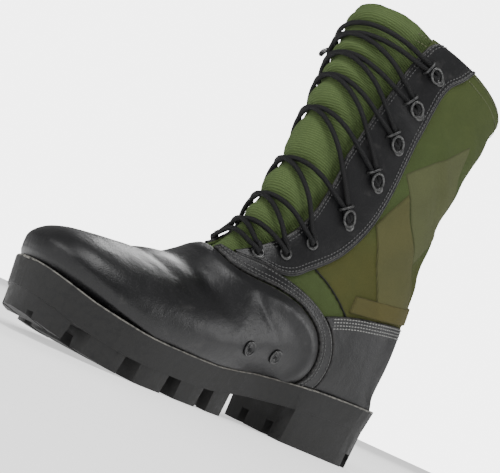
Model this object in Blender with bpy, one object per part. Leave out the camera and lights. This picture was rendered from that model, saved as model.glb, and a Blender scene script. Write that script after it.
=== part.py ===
"""Jungle boot for the right foot, standing empty on its sole.

Frame, in metres: X points to the wearer's right, which is the outer side of the foot, Y to the toe
and Z up. The origin is on the floor under the middle of the heel. One function gives every point of
the upper's outside, and the wall, the leather pieces, the tongue and the laces all follow it.
"""

import math
from collections import namedtuple

import bmesh
import bpy
import numpy as np
from mathutils import Matrix, Vector, geometry

MEDIAL, LATERAL = -1, 1
SIDE_NAMES = {MEDIAL: "medial", LATERAL: "lateral"}

# Sole
SOLE_LENGTH = 0.304
HEEL_SETBACK = 0.039  # origin to the back of the sole
BALL_WIDTH = 0.110
WAIST_WIDTH = 0.064
HEEL_WIDTH = 0.078
TOE_ROUND = 0.078  # length of the round part of the outline at the toe
HEEL_ROUND = 0.036
TOE_SHIFT = 0.012  # how far the tip of the toe stands over to the big toe
OUTLINE_POWER = 2.15
HEEL_HEIGHT = 0.044  # floor to the edge of the upper, at the back
FOREPART_HEIGHT = 0.027
TOE_SPRING = 0.013
PLATFORM = 0.0145  # rubber between the upper and the lugs
SHANK_CROWN = 0.004
SIDE_TAPER = 0.0025  # how much narrower the platform is at its underside
SOLE_EDGE = 0.0055  # how far the sole stands out from the edge of the upper
LIP_HEIGHT = 0.0012
LIP_WIDTH = 0.0018
LUG_INSET = 0.0035
LUG_DRAFT = 0.0015
ROW_BASE = 0.0045  # rubber left under the grooves inside a row of lugs
CHANNEL_WIDTH = 0.0105
CHANNEL_BOW = 0.006
GROOVE_WIDTH = 0.009
TREAD_BACK = 0.105
HEEL_BREAST = 0.047
HEEL_INSET = 0.003
HEEL_GROOVE_DEPTH = 0.010
OVERLAP = 0.003

# Upper
BOOT_HEIGHT = 0.297  # floor to the top of the eyestays
ANKLE_WIDTH = 0.080
COLLAR_WIDTH = 0.100
THROAT_WIDTH = 0.100  # opening under the laces at the collar, measured round the boot
CANVAS_WALL = 0.0018
OVERLAY_WALL = 0.0018
TONGUE_WALL = 0.0022
TONGUE_MARGIN = 0.012  # how far the tongue reaches in under the edge of the throat
TONGUE_BULGE = 0.006
TONGUE_CLEARANCE = 0.0014
TONGUE_TOP = 0.28  # how far above the collar's front it ends, in steps of the rings
INSOLE_THICKNESS = 0.004
COLUMN_POWER = 1.2
TONGUE_COLUMNS = 12
CURVE_STEPS = 4
WEBBING_WALL = 0.001
BACKSTAY_WIDTH = 0.026
INSOLE_CLEARANCE = 0.003
INSOLE_BEVEL = 0.003
GROOVE_PLACE = 0.52
SLOT_WIDTH = 0.004
GAP = 0.0003
SEAM_GAP = 0.0006
STAY_MIDDLE = 0.012  # how near the middle of the boot the side pieces come
FOOT_BLEND = 0.014  # length over which the wall turns level at the sole
CORD_DIAMETER = 0.0034

# Fittings
VENT_OUTER = 0.0105
VENT_BORE = 0.0055
VENT_HEIGHT = 0.0014
EYELET_OUTER = 0.0092
EYELET_BORE = 0.0050
EYELET_HEIGHT = 0.0013
LOOP_WIDTH = 0.0085
LOOP_LENGTH = 0.011
LOOP_WIRE = 0.0019
LOOP_LIFT = 0.003
LACE_GAP = 0.0009
LACE_CLEARANCE = 0.0022  # from a lace's cut end to the fitting that it runs through

TOE_TIP = SOLE_LENGTH - HEEL_SETBACK
HEEL_BACK = -HEEL_SETBACK
TOE_CORNER = TOE_TIP - TOE_ROUND
HEEL_CORNER = HEEL_BACK + HEEL_ROUND

OutlineRow = namedtuple("OutlineRow", "along size medial lateral")
# along: share of the sole's length from its back. medial, lateral: half widths, as shares of the size.
OUTLINE_ROWS = (
    OutlineRow(0.12, HEEL_WIDTH, 0.50, 0.50),
    OutlineRow(0.27, HEEL_WIDTH, 0.46, 0.48),
    OutlineRow(0.40, WAIST_WIDTH, 0.46, 0.56),
    OutlineRow(0.51, BALL_WIDTH, 0.35, 0.39),
    OutlineRow(0.62, BALL_WIDTH, 0.44, 0.46),
    OutlineRow(0.74, BALL_WIDTH, 0.49, 0.50),
)

LevelRow = namedtuple("LevelRow", "along size height")
# Height of the line where the upper meets the sole, as a share of the size.
FEATHER_ROWS = (
    LevelRow(0.00, HEEL_HEIGHT, 1.00),
    LevelRow(0.25, HEEL_HEIGHT, 0.90),
    LevelRow(0.42, HEEL_HEIGHT, 0.75),
    LevelRow(0.58, FOREPART_HEIGHT, 1.00),
    LevelRow(0.74, FOREPART_HEIGHT, 0.96),
    LevelRow(0.88, FOREPART_HEIGHT, 1.10),
    LevelRow(1.00, FOREPART_HEIGHT + TOE_SPRING, 0.97),
)

Ring = namedtuple("Ring", "end size medial lateral top rise back lift level crown tuck ridge")
# A ring runs over the boot from one edge of the sole to the other, and above the heel right round it.
# end: where it meets the sole, as a share of the way from the toe's corner to the back of the heel.
# size: what its half widths medial and lateral are shares of. top, back: how far forward its front
# and back are, shares of the sole's length. rise: height of the front, share of the boot's height.
# lift: height of the back, share of the way from the sole's edge to the boot's height. level: how far
# up the ring is widest. crown: roundness above that. tuck: 2 where the ring stands on the sole's
# edge, 1 where it closes at the back. ridge: the front's shift to the big toe, share of the ball.
RINGS = (
    Ring(0.000, BALL_WIDTH, 0.440, 0.440, 0.982, 0.129, 0.0, 0.0, 0.06, 2.05, 2.0, 0.105),
    Ring(0.006, BALL_WIDTH, 0.450, 0.453, 0.993, 0.153, 0.0, 0.0, 0.12, 2.10, 2.0, 0.105),
    Ring(0.016, BALL_WIDTH, 0.460, 0.466, 0.992, 0.176, 0.0, 0.0, 0.18, 2.10, 2.0, 0.102),
    Ring(0.032, BALL_WIDTH, 0.466, 0.472, 0.974, 0.198, 0.0, 0.0, 0.22, 2.10, 2.0, 0.096),
    Ring(0.056, BALL_WIDTH, 0.468, 0.478, 0.940, 0.213, 0.0, 0.0, 0.26, 2.05, 2.0, 0.088),
    Ring(0.090, BALL_WIDTH, 0.468, 0.478, 0.886, 0.224, 0.0, 0.0, 0.28, 2.00, 2.0, 0.080),
    Ring(0.140, BALL_WIDTH, 0.466, 0.478, 0.820, 0.235, 0.0, 0.0, 0.30, 1.95, 2.0, 0.070),
    Ring(0.200, BALL_WIDTH, 0.454, 0.470, 0.755, 0.252, 0.0, 0.0, 0.31, 1.90, 2.0, 0.060),
    Ring(0.260, BALL_WIDTH, 0.430, 0.450, 0.694, 0.278, 0.0, 0.0, 0.31, 1.85, 2.0, 0.052),
    Ring(0.330, BALL_WIDTH, 0.396, 0.420, 0.637, 0.318, 0.0, 0.0, 0.31, 1.80, 2.0, 0.044),
    Ring(0.410, BALL_WIDTH, 0.360, 0.396, 0.586, 0.364, 0.0, 0.0, 0.31, 1.80, 2.0, 0.036),
    Ring(0.500, ANKLE_WIDTH, 0.462, 0.532, 0.545, 0.426, 0.0, 0.0, 0.31, 1.85, 2.0, 0.028),
    Ring(0.600, ANKLE_WIDTH, 0.449, 0.506, 0.514, 0.500, 0.0, 0.0, 0.31, 1.90, 2.0, 0.020),
    Ring(0.710, ANKLE_WIDTH, 0.455, 0.494, 0.494, 0.580, 0.0, 0.0, 0.32, 1.95, 1.9, 0.012),
    Ring(0.830, ANKLE_WIDTH, 0.468, 0.494, 0.486, 0.658, 0.0, 0.0, 0.34, 2.00, 1.6, 0.006),
    Ring(1.000, ANKLE_WIDTH, 0.487, 0.506, 0.483, 0.726, 0.000, 0.000, 0.38, 2.00, 1.0, 0.0),
    Ring(1.000, ANKLE_WIDTH, 0.490, 0.509, 0.482, 0.769, -0.012, 0.111, 0.40, 2.00, 1.0, 0.0),
    Ring(1.000, ANKLE_WIDTH, 0.494, 0.509, 0.480, 0.806, -0.006, 0.225, 0.42, 2.00, 1.0, 0.0),
    Ring(1.000, ANKLE_WIDTH, 0.498, 0.512, 0.478, 0.839, 0.010, 0.340, 0.44, 2.00, 1.0, 0.0),
    Ring(1.000, ANKLE_WIDTH, 0.512, 0.526, 0.476, 0.873, 0.016, 0.458, 0.46, 2.00, 1.0, 0.0),
    Ring(1.000, COLLAR_WIDTH, 0.446, 0.456, 0.474, 0.905, 0.010, 0.581, 0.48, 2.00, 1.0, 0.0),
    Ring(1.000, COLLAR_WIDTH, 0.468, 0.476, 0.471, 0.937, -0.006, 0.704, 0.49, 2.00, 1.0, 0.0),
    Ring(1.000, COLLAR_WIDTH, 0.486, 0.490, 0.468, 0.968, -0.021, 0.822, 0.50, 2.00, 1.0, 0.0),
    Ring(1.000, COLLAR_WIDTH, 0.500, 0.500, 0.464, 1.000, -0.035, 0.941, 0.50, 2.00, 1.0, 0.0),
    Ring(1.000, COLLAR_WIDTH, 0.505, 0.505, 0.456, 1.078, -0.045, 1.030, 0.50, 2.00, 1.0, 0.0),
)
CLOSED_RING = 15
COLLAR_RING = 23
STRAIGHT_SHARE = 0.75  # part of the way along the sole that runs down its straight side
ARC_STEPS = 72

ThroatRow = namedtuple("ThroatRow", "ring gap")
# Half the throat's opening, as a share of its width at the collar.
THROAT_ROWS = (
    ThroatRow(0.0, 0.03),
    ThroatRow(9.2, 0.13),
    ThroatRow(10.0, 0.17),
    ThroatRow(11.0, 0.24),
    ThroatRow(12.0, 0.31),
    ThroatRow(13.0, 0.35),
    ThroatRow(15.0, 0.38),
    ThroatRow(18.0, 0.41),
    ThroatRow(21.0, 0.45),
    ThroatRow(23.0, 0.50),
    ThroatRow(24.0, 0.50),
)
THROAT_START = 9.2

# Rings used as rows of every piece cut from the upper's form, closer where it turns sharply.
ROW_RUNS = ((0.0, 1.0, 2), (1.0, 5.0, 6), (5.0, THROAT_START, 5), (THROAT_START, 13.0, 5),
            (13.0, 15.0, 4), (15.0, COLLAR_RING, 9))
SIDE_COLUMNS = 9
CENTRE_COLUMNS = 2

SidePoint = namedtuple("SidePoint", "along height")
# Side views of seams. along: share of the sole's length from its back. height: share of the boot's.
VAMP_SEAM = (
    SidePoint(0.655, 0.350),
    SidePoint(0.628, 0.318),
    SidePoint(0.600, 0.300),
    SidePoint(0.553, 0.297),
    SidePoint(0.487, 0.300),
    SidePoint(0.414, 0.293),
    SidePoint(0.349, 0.266),
    SidePoint(0.312, 0.225),
    SidePoint(0.303, 0.172),
    SidePoint(0.325, 0.110),
    SidePoint(0.345, 0.060),
)
STRIP_SEAM = (
    SidePoint(0.665, 0.385),
    SidePoint(0.630, 0.342),
    SidePoint(0.600, 0.330),
    SidePoint(0.572, 0.330),
    SidePoint(0.516, 0.334),
    SidePoint(0.434, 0.327),
    SidePoint(0.359, 0.308),
    SidePoint(0.300, 0.273),
    SidePoint(0.266, 0.222),
    SidePoint(0.260, 0.165),
    SidePoint(0.275, 0.110),
    SidePoint(0.290, 0.060),
)
EYESTAY_SEAM = (
    SidePoint(0.620, 0.300),
    SidePoint(0.470, 0.338),
    SidePoint(0.420, 0.372),
    SidePoint(0.360, 0.430),
    SidePoint(0.325, 0.490),
    SidePoint(0.305, 0.560),
    SidePoint(0.298, 0.640),
    SidePoint(0.300, 0.740),
    SidePoint(0.304, 0.830),
    SidePoint(0.296, 0.905),
    SidePoint(0.262, 0.952),
    SidePoint(0.215, 1.050),
)
COUNTER_SEAM = (
    SidePoint(0.400, 0.262),
    SidePoint(0.345, 0.292),
    SidePoint(0.270, 0.322),
    SidePoint(0.195, 0.343),
    SidePoint(0.100, 0.362),
    SidePoint(0.000, 0.375),
    SidePoint(-0.060, 0.380),
)

# Middles of the channels across the forepart, as shares of the sole's length.
CHANNELS = (0.900, 0.785, 0.665, 0.550)

HeelGroove = namedtuple("HeelGroove", "left right front back")
# Edges of the heel's grooves. left, right: shares of its width. front, back: shares of its length.
HEEL_GROOVES = (
    HeelGroove(-0.23, -0.13, 1.20, 0.24),
    HeelGroove(0.13, 0.23, 1.20, 0.24),
    HeelGroove(-0.20, 0.80, 0.70, 0.61),
    HeelGroove(-0.80, 0.20, 0.31, 0.21),
)

ToeSlot = namedtuple("ToeSlot", "across front back")
# across: share of the ball's width. front, back: shares of the sole's length.
TOE_SLOTS = (ToeSlot(-0.255, 0.975, 0.925), ToeSlot(0.045, 0.985, 0.925))

# Side views of the lace stations, from the toe up.
EYELETS = (SidePoint(0.543, 0.350), SidePoint(0.485, 0.378), SidePoint(0.432, 0.428))
LOOPS = (
    SidePoint(0.372, 0.520),
    SidePoint(0.346, 0.630),
    SidePoint(0.342, 0.730),
    SidePoint(0.342, 0.822),
    SidePoint(0.338, 0.912),
)

EndPoint = namedtuple("EndPoint", "up across out")
# Routes of the lace's ends from the knot, in cord diameters: up the throat, towards the middle of the
# boot, and out from where a lace lies.
AGLET_END = (
    EndPoint(0.0, 1.42, 0.85),
    EndPoint(-0.5, 2.5, 1.35),
    EndPoint(-1.4, 3.9, 1.5),
    EndPoint(-2.8, 5.0, 1.5),
    EndPoint(-4.4, 6.2, 1.45),
    EndPoint(-5.8, 7.2, 1.4),
)
LOOSE_END = (
    EndPoint(0.0, -1.42, 0.95),
    EndPoint(0.2, -2.5, 2.1),
    EndPoint(-0.6, -3.9, 2.9),
    EndPoint(-2.2, -4.4, 3.1),
    EndPoint(-3.8, -4.3, 3.0),
    EndPoint(-5.0, -4.6, 3.3),
)
KNOT_SIZE = (0.0085, 0.0105, 0.0085)

# Drain vents on the inner side.
VENTS = (SidePoint(0.522, 0.157), SidePoint(0.428, 0.168))


def smooth_curve(stations, values):
    """A function through the values that never swings past them."""
    stations = np.asarray(stations, float)
    values = np.asarray(values, float)
    steps = np.diff(stations)
    slopes = np.diff(values) / steps
    tangents = np.zeros_like(values)
    tangents[0], tangents[-1] = slopes[0], slopes[-1]
    for i in range(1, len(values) - 1):
        before, after = slopes[i - 1], slopes[i]
        if before * after > 0:
            left = 2 * steps[i] + steps[i - 1]
            right = steps[i] + 2 * steps[i - 1]
            tangents[i] = (left + right) / (left / before + right / after)

    def curve(at):
        at = float(np.clip(at, stations[0], stations[-1]))
        i = int(np.clip(np.searchsorted(stations, at) - 1, 0, len(steps) - 1))
        t = (at - stations[i]) / steps[i]
        ends = values[i] * (1 + 2 * t) * (1 - t) ** 2 + values[i + 1] * t * t * (3 - 2 * t)
        return float(ends + steps[i] * (tangents[i] * t * (1 - t) ** 2 - tangents[i + 1] * t * t * (1 - t)))

    return curve


def along_sole(share):
    """Y of a share of the sole's length, counted from its back."""
    return HEEL_BACK + share * SOLE_LENGTH


OUTLINE_STATIONS = [along_sole(row.along) for row in OUTLINE_ROWS]
HALF_WIDTHS = {
    MEDIAL: smooth_curve(OUTLINE_STATIONS, [row.size * row.medial for row in OUTLINE_ROWS]),
    LATERAL: smooth_curve(OUTLINE_STATIONS, [row.size * row.lateral for row in OUTLINE_ROWS]),
}
FEATHER = smooth_curve(
    [along_sole(row.along) for row in FEATHER_ROWS], [row.size * row.height for row in FEATHER_ROWS]
)
BALL = along_sole(OUTLINE_ROWS[-1].along)


def centre_line(y):
    """X of the middle of the sole, which swings over to the big toe."""
    start = along_sole(0.6)
    share = max(0.0, (y - start) / (TOE_TIP - start))
    return -TOE_SHIFT * share**2


def outline_x(y, side, inset=0.0):
    """X of the sole's edge, or of a line inside it, at one Y."""
    half = HALF_WIDTHS[side](y) - inset
    tip, back = TOE_TIP - inset, HEEL_BACK + inset
    if y > TOE_CORNER:
        share = min(1.0, (y - TOE_CORNER) / (tip - TOE_CORNER))
        half *= (1 - share**OUTLINE_POWER) ** (1 / OUTLINE_POWER)
    if y < HEEL_CORNER:
        share = min(1.0, (HEEL_CORNER - y) / (HEEL_CORNER - back))
        half *= (1 - share**OUTLINE_POWER) ** (1 / OUTLINE_POWER)
    return centre_line(y) + side * half


def tread_level(y):
    """Height of the lugs' faces: flat back from the ball, then the toe spring."""
    share = max(0.0, (y - BALL) / (TOE_TIP - BALL))
    return TOE_SPRING * share**1.8


def platform_level(y):
    """Height of the platform's underside."""
    return FEATHER(y) - PLATFORM


def ring_end(share, side):
    """Where a ring meets the sole's edge."""
    if share < STRAIGHT_SHARE:
        y = TOE_CORNER + (HEEL_CORNER - TOE_CORNER) * share / STRAIGHT_SHARE
    else:
        turn = 0.5 * math.pi * (share - STRAIGHT_SHARE) / (1 - STRAIGHT_SHARE)
        y = HEEL_CORNER - (HEEL_CORNER - HEEL_BACK - SOLE_EDGE) * math.sin(turn)
    return Vector((outline_x(y, side, SOLE_EDGE), y, FEATHER(y)))


def ring_column(values, first=0):
    return smooth_curve(range(first, len(RINGS)), values)


SHAFT_RINGS = RINGS[CLOSED_RING:]
COLUMNS = {
    "end": ring_column([ring.end for ring in RINGS]),
    MEDIAL: ring_column([ring.size * ring.medial for ring in RINGS]),
    LATERAL: ring_column([ring.size * ring.lateral for ring in RINGS]),
    "top": ring_column([along_sole(ring.top) for ring in RINGS]),
    "rise": ring_column([BOOT_HEIGHT * ring.rise for ring in RINGS]),
    "back": ring_column(
        [HEEL_BACK + SOLE_EDGE + SOLE_LENGTH * ring.back for ring in SHAFT_RINGS], CLOSED_RING
    ),
    "lift": ring_column(
        [HEEL_HEIGHT + (BOOT_HEIGHT - HEEL_HEIGHT) * ring.lift for ring in SHAFT_RINGS], CLOSED_RING
    ),
    "level": ring_column([ring.level for ring in RINGS]),
    "crown": ring_column([ring.crown for ring in RINGS]),
    "tuck": ring_column([ring.tuck for ring in RINGS]),
    "ridge": ring_column([-BALL_WIDTH * ring.ridge for ring in RINGS]),
}
THROAT = smooth_curve([row.ring for row in THROAT_ROWS], [row.gap * THROAT_WIDTH for row in THROAT_ROWS])


def toe_arc(side):
    """The sole's edge line round the toe, as the first half ring."""
    tip = TOE_TIP - SOLE_EDGE
    points = []
    for i in range(ARC_STEPS + 1):
        y = TOE_CORNER + (tip - TOE_CORNER) * math.cos(0.5 * math.pi * i / ARC_STEPS)
        points.append((outline_x(y, side, SOLE_EDGE), y, FEATHER(y)))
    return np.array(points)


def plane_ring(u, side):
    """A half ring in its own plane, from its front down to the sole's edge or the back."""
    top = Vector((COLUMNS["ridge"](u), COLUMNS["top"](u), COLUMNS["rise"](u)))
    if u < CLOSED_RING:
        end = ring_end(COLUMNS["end"](u), side)
    else:
        end = Vector((0.0, COLUMNS["back"](u), COLUMNS["lift"](u)))
    middle = Vector((centre_line(end.y), end.y, end.z))
    start = abs(end.x - middle.x)
    widest = max(COLUMNS[side](u), start)
    level, crown, tuck = COLUMNS["level"](u), COLUMNS["crown"](u), COLUMNS["tuck"](u)
    points = []
    for i in range(ARC_STEPS + 1):
        turn = math.pi * i / ARC_STEPS
        if 2 * i <= ARC_STEPS:
            rise = level + (1 - level) * abs(math.cos(turn)) ** (2 / crown)
            out = widest * math.sin(turn) ** (2 / crown)
        else:
            rise = level * (1 + math.cos(turn))
            out = start + (widest - start) * max(0.0, math.sin(turn)) ** tuck
        spine = middle.lerp(top, rise)
        points.append((spine.x + side * out, spine.y, spine.z))
    return np.array(points)


HALF_RINGS = {}


def half_ring(u, side):
    """Points down one half ring and their distances from its front."""
    key = (round(u, 6), side)
    if key not in HALF_RINGS:
        points = plane_ring(max(u, 1.0), side)
        if u < 1.0:
            points = (1 - u) * toe_arc(side) + u * points
        steps = np.linalg.norm(np.diff(points, axis=0), axis=1)
        HALF_RINGS[key] = points, np.concatenate([[0.0], np.cumsum(steps)])
    return HALF_RINGS[key]


def place(u, arc):
    """The point of the upper's outside that lies arc from the front of ring u, and minus to the inner side."""
    points, lengths = half_ring(u, MEDIAL if arc < 0 else LATERAL)
    return Vector([float(np.interp(abs(arc), lengths, points[:, k])) for k in range(3)])


def outward(u, arc):
    """Unit normal of the upper's outside."""
    step_u, step_arc = 0.04, 0.0015
    low, high = max(0.02, u - step_u), min(len(RINGS) - 1, u + step_u)
    share = arc / ring_length(u, arc)
    along = place(high, share * ring_length(high, arc)) - place(low, share * ring_length(low, arc))
    across = place(u, arc + step_arc) - place(u, arc - step_arc)
    return along.cross(across).normalized()


def ring_length(u, arc):
    """Length of the half ring on the side of arc."""
    return float(half_ring(u, MEDIAL if arc < 0 else LATERAL)[1][-1])


def level_normal(u, arc):
    """Unit normal of the sole's edge line, where ring u ends or round the toe."""
    step_u, step_arc = 0.05, 0.0015
    if u < 1.0:
        at = arc / ring_length(u, arc) * ring_length(0.0, arc)
        run = place(0.0, at + step_arc) - place(0.0, at - step_arc)
        return Vector((-run.y, run.x, 0.0)).normalized()
    side = MEDIAL if arc < 0 else LATERAL
    low, high = max(1.0, u - step_u), min(CLOSED_RING, u + step_u)
    run = place(high, side * ring_length(high, arc)) - place(low, side * ring_length(low, arc))
    return Vector((-side * run.y, side * run.x, 0.0)).normalized()


def raised(u, arc, offset):
    """A point at a distance outside the upper's outside, measured level where it meets the sole."""
    left = ring_length(u, arc) - abs(arc)
    inside = min(abs(arc), ring_length(u, arc) - 0.0016) * (1 if arc > 0 else -1)
    base = place(u, arc)
    normal = outward(u, inside)
    if u < CLOSED_RING:
        share = arc / ring_length(u, arc)
        toe = (base - place(0.0, share * ring_length(0.0, arc))).length
        normal = level_normal(u, arc).lerp(normal, min(1.0, left / FOOT_BLEND, toe / FOOT_BLEND)).normalized()
    point = base + normal * offset
    if left < 1e-6 and u <= CLOSED_RING or u == 0.0:
        point.z = FEATHER(point.y)
    return point


def row_values():
    """The rings that every cut piece has as rows."""
    values = [0.0]
    for first, last, count in ROW_RUNS:
        values += list(np.linspace(first, last, count + 1)[1:])
    return values


def column_arcs(u):
    """Distances from the front, across one ring, from the inner side's end to the outer side's."""
    gap = THROAT(u)
    shares = [(i / SIDE_COLUMNS) ** COLUMN_POWER for i in range(SIDE_COLUMNS + 1)]
    medial = [-(gap + share * (ring_length(u, -1) - gap)) for share in reversed(shares)]
    lateral = [gap + share * (ring_length(u, 1) - gap) for share in shares]
    centre = [gap * (2 * i / CENTRE_COLUMNS - 1) for i in range(1, CENTRE_COLUMNS)]
    return medial + centre + lateral


def new_material(name, colour, roughness, metallic=0.0):
    material = bpy.data.materials.new(name)
    material.use_nodes = True
    shader = material.node_tree.nodes["Principled BSDF"]
    shader.inputs["Base Color"].default_value = (*colour, 1.0)
    shader.inputs["Roughness"].default_value = roughness
    shader.inputs["Metallic"].default_value = metallic
    return material


def new_object(name, mesh, material=None):
    """A part from a bmesh, or a hidden cutter where it has no material."""
    data = bpy.data.meshes.new(name)
    mesh.to_mesh(data)
    mesh.free()
    data.shade_smooth()
    data.set_sharp_from_angle(angle=math.radians(40))
    obj = bpy.data.objects.new(name, data)
    if material:
        data.materials.append(material)
        bpy.data.collections["jungle_boot"].objects.link(obj)
    else:
        obj.hide_render = True
        obj.display_type = "WIRE"
        bpy.data.collections["cutters"].objects.link(obj)
    return obj


def combine(obj, operation, other):
    modifier = obj.modifiers.new(operation.title() + "_" + other.name, "BOOLEAN")
    modifier.operation = operation
    modifier.solver = "EXACT"
    modifier.object = other


def add_grid(mesh, grid, closed=False):
    """Faces between the rows of a grid of vertices. closed joins the last column to the first.

    An open grid is a wall's face, made of triangles so that the walls beside it are parallel to it.
    """
    for row, following in zip(grid, grid[1:]):
        width = len(row)
        for j in range(width if closed else width - 1):
            after = (j + 1) % width
            corners = row[j], row[after], following[after], following[j]
            if closed:
                mesh.faces.new(corners)
            else:
                mesh.faces.new(corners[:3])
                mesh.faces.new((corners[2], corners[3], corners[0]))


def loft(name, sections, material=None):
    """A solid through closed sections with as many points each, capped at both ends."""
    mesh = bmesh.new()
    grid = [[mesh.verts.new(point) for point in section] for section in sections]
    add_grid(mesh, grid, closed=True)
    mesh.faces.new(reversed(grid[0]))
    mesh.faces.new(grid[-1])
    bmesh.ops.recalc_face_normals(mesh, faces=mesh.faces)
    return new_object(name, mesh, material)


ProfilePoint = namedtuple("ProfilePoint", "side inset level")


def sole_sections(profile, first=0.0, last=1.0, count=30):
    """Sections along the sole. Each profile point keeps to its own outline, inset from the sole's edge."""
    shares = [0.5 - 0.5 * math.cos(math.pi * (i + 0.5) / (count + 1)) for i in range(count + 1)]
    shares = [first] * (first > 0) + [s for s in shares if first < s < last] + [last] * (last < 1)
    sections = []
    for share in shares:
        section = []
        for point in profile:
            y = HEEL_BACK + point.inset + (SOLE_LENGTH - 2 * point.inset) * share
            x = outline_x(y, point.side, point.inset) if point.side else centre_line(y)
            section.append((x, y, point.level(y)))
        sections.append(section)
    return sections


def both_sides(points):
    """A profile from (inset, level) pairs, down the inner side and back up the outer side."""
    medial = [ProfilePoint(MEDIAL, inset, level) for inset, level in points]
    lateral = [ProfilePoint(LATERAL, inset, level) for inset, level in reversed(points)]
    return medial + lateral


def build_outsole(rubber):
    """Platform with its lip, tread and heel, moulded as one piece."""
    waist = smooth_curve([HEEL_BREAST, along_sole(0.38), TREAD_BACK], [0.5, 1.0, 0.0])

    def top(y):
        return FEATHER(y) - GAP

    def lip(y):
        return top(y) + LIP_HEIGHT

    def crown(y):
        return platform_level(y) - SHANK_CROWN * waist(y)

    profile = both_sides([(LIP_WIDTH, top), (LIP_WIDTH, lip), (0.0, lip), (SIDE_TAPER, platform_level)])
    profile.insert(4, ProfilePoint(0, SIDE_TAPER, crown))
    outsole = loft("outsole", sole_sections(profile), rubber)

    def inner(y):
        return platform_level(y) + OVERLAP

    tread_profile = both_sides([(LUG_INSET, inner), (LUG_INSET + LUG_DRAFT, tread_level)])
    tread_start = (TREAD_BACK - HEEL_BACK) / SOLE_LENGTH
    tread = loft("tread", sole_sections(tread_profile, first=tread_start))
    for i, share in enumerate(CHANNELS):
        combine(tread, "DIFFERENCE", channel_cutter(f"channel_{i}", along_sole(share)))
    for side in (MEDIAL, LATERAL):
        combine(tread, "DIFFERENCE", groove_cutter(f"groove_{SIDE_NAMES[side]}", side))
    for i, slot in enumerate(TOE_SLOTS):
        combine(tread, "DIFFERENCE", slot_cutter(f"toe_slot_{i}", slot))

    def floor(_):
        return 0.0

    heel_profile = both_sides([(SIDE_TAPER, inner), (HEEL_INSET + LUG_DRAFT, floor)])
    breast = (HEEL_BREAST - HEEL_BACK) / SOLE_LENGTH
    heel = loft("heel", sole_sections(heel_profile, last=breast))
    for i, groove in enumerate(HEEL_GROOVES):
        combine(heel, "DIFFERENCE", heel_cutter(f"heel_groove_{i}", groove))

    combine(outsole, "UNION", tread)
    combine(outsole, "UNION", heel)
    return outsole


def channel_cutter(name, middle):
    """A bowed channel across the forepart, wider at the floor."""
    reach = 0.7 * BALL_WIDTH
    sections = []
    for i in range(9):
        x = reach * (i / 4 - 1)
        y = middle + CHANNEL_BOW * (0.5 - (x / (0.5 * BALL_WIDTH)) ** 2)
        half = 0.5 * CHANNEL_WIDTH
        low, high = -OVERLAP, platform_level(middle) + 2 * OVERLAP
        sections.append([
            (x, y - half - LUG_DRAFT, low),
            (x, y + half + LUG_DRAFT, low),
            (x, y + half, high),
            (x, y - half, high),
        ])
    return loft(name, sections)


def groove_cutter(name, side):
    """A groove along the forepart, between the middle blocks and the lugs of one edge."""
    sections = []
    for i in range(13):
        y = TREAD_BACK - OVERLAP + (along_sole(CHANNELS[0]) - TREAD_BACK + OVERLAP) * i / 12
        x = centre_line(y) + GROOVE_PLACE * (outline_x(y, side) - centre_line(y))
        half = 0.5 * GROOVE_WIDTH
        high = platform_level(y) - ROW_BASE
        sections.append([
            (x - half - LUG_DRAFT, y, -OVERLAP),
            (x + half + LUG_DRAFT, y, -OVERLAP),
            (x + half, y, high),
            (x - half, y, high),
        ])
    return loft(name, sections)


def block(name, low, high):
    """A box between two corners."""
    mesh = bmesh.new()
    bmesh.ops.create_cube(mesh, size=1.0)
    for vert in mesh.verts:
        vert.co = Vector([low[k] if vert.co[k] < 0 else high[k] for k in range(3)])
    return new_object(name, mesh)


def slot_cutter(name, slot):
    """A narrow slot in the toe plate."""
    x = slot.across * BALL_WIDTH
    high = platform_level(along_sole(slot.back)) - ROW_BASE
    return block(
        name,
        (x - 0.5 * SLOT_WIDTH, along_sole(slot.back), -OVERLAP),
        (x + 0.5 * SLOT_WIDTH, along_sole(slot.front), high),
    )


def heel_cutter(name, groove):
    """A straight groove in the heel's tread."""
    length = HEEL_BREAST - HEEL_BACK
    return block(
        name,
        (groove.left * HEEL_WIDTH, HEEL_BACK + groove.back * length, -OVERLAP),
        (groove.right * HEEL_WIDTH, HEEL_BACK + groove.front * length, HEEL_GROOVE_DEPTH),
    )


def build_insole(lining):
    """Insole inside the upper, on the platform."""
    inset = SOLE_EDGE + CANVAS_WALL + INSOLE_CLEARANCE

    def under(y):
        return FEATHER(y) + GAP

    def top(y):
        return under(y) + INSOLE_THICKNESS

    profile = both_sides([(inset + INSOLE_BEVEL, top), (inset, under)])
    return loft("insole", sole_sections(profile, count=26), lining)


def form_shell(name, offset, wall, material=None):
    """A wall over the whole last, open at the collar, the throat and the sole."""
    rows = row_values()
    mesh = bmesh.new()
    layers = []
    for level in (offset, offset - wall):
        grid = []
        for u in rows:
            points = [raised(u, arc, level) for arc in column_arcs(u)]
            if u < CLOSED_RING:
                grid.append([mesh.verts.new(point) for point in points])
            else:
                points[0] = (points[0] + points[-1]) / 2
                row = [mesh.verts.new(point) for point in points[:-1]]
                grid.append(row + row[:1])
        layers.append(grid)
    throat = rows.index(THROAT_START)
    for grid in layers:
        add_grid(mesh, grid[: throat + 1])
        add_grid(mesh, [row[: SIDE_COLUMNS + 1] for row in grid[throat:]])
        add_grid(mesh, [row[SIDE_COLUMNS + CENTRE_COLUMNS :] for row in grid[throat:]])
    inner_of = {}
    for outer_row, inner_row in zip(*layers):
        inner_of.update(zip(outer_row, inner_row))
    for edge in [edge for edge in mesh.edges if len(edge.link_faces) == 1]:
        first, last = edge.verts
        if first in inner_of and last in inner_of:
            mesh.faces.new((first, last, inner_of[last], inner_of[first]))
    loose = [vert for vert in mesh.verts if not vert.link_faces]
    bmesh.ops.delete(mesh, geom=loose, context="VERTS")
    bmesh.ops.recalc_face_normals(mesh, faces=mesh.faces)
    return new_object(name, mesh, material)


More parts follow.
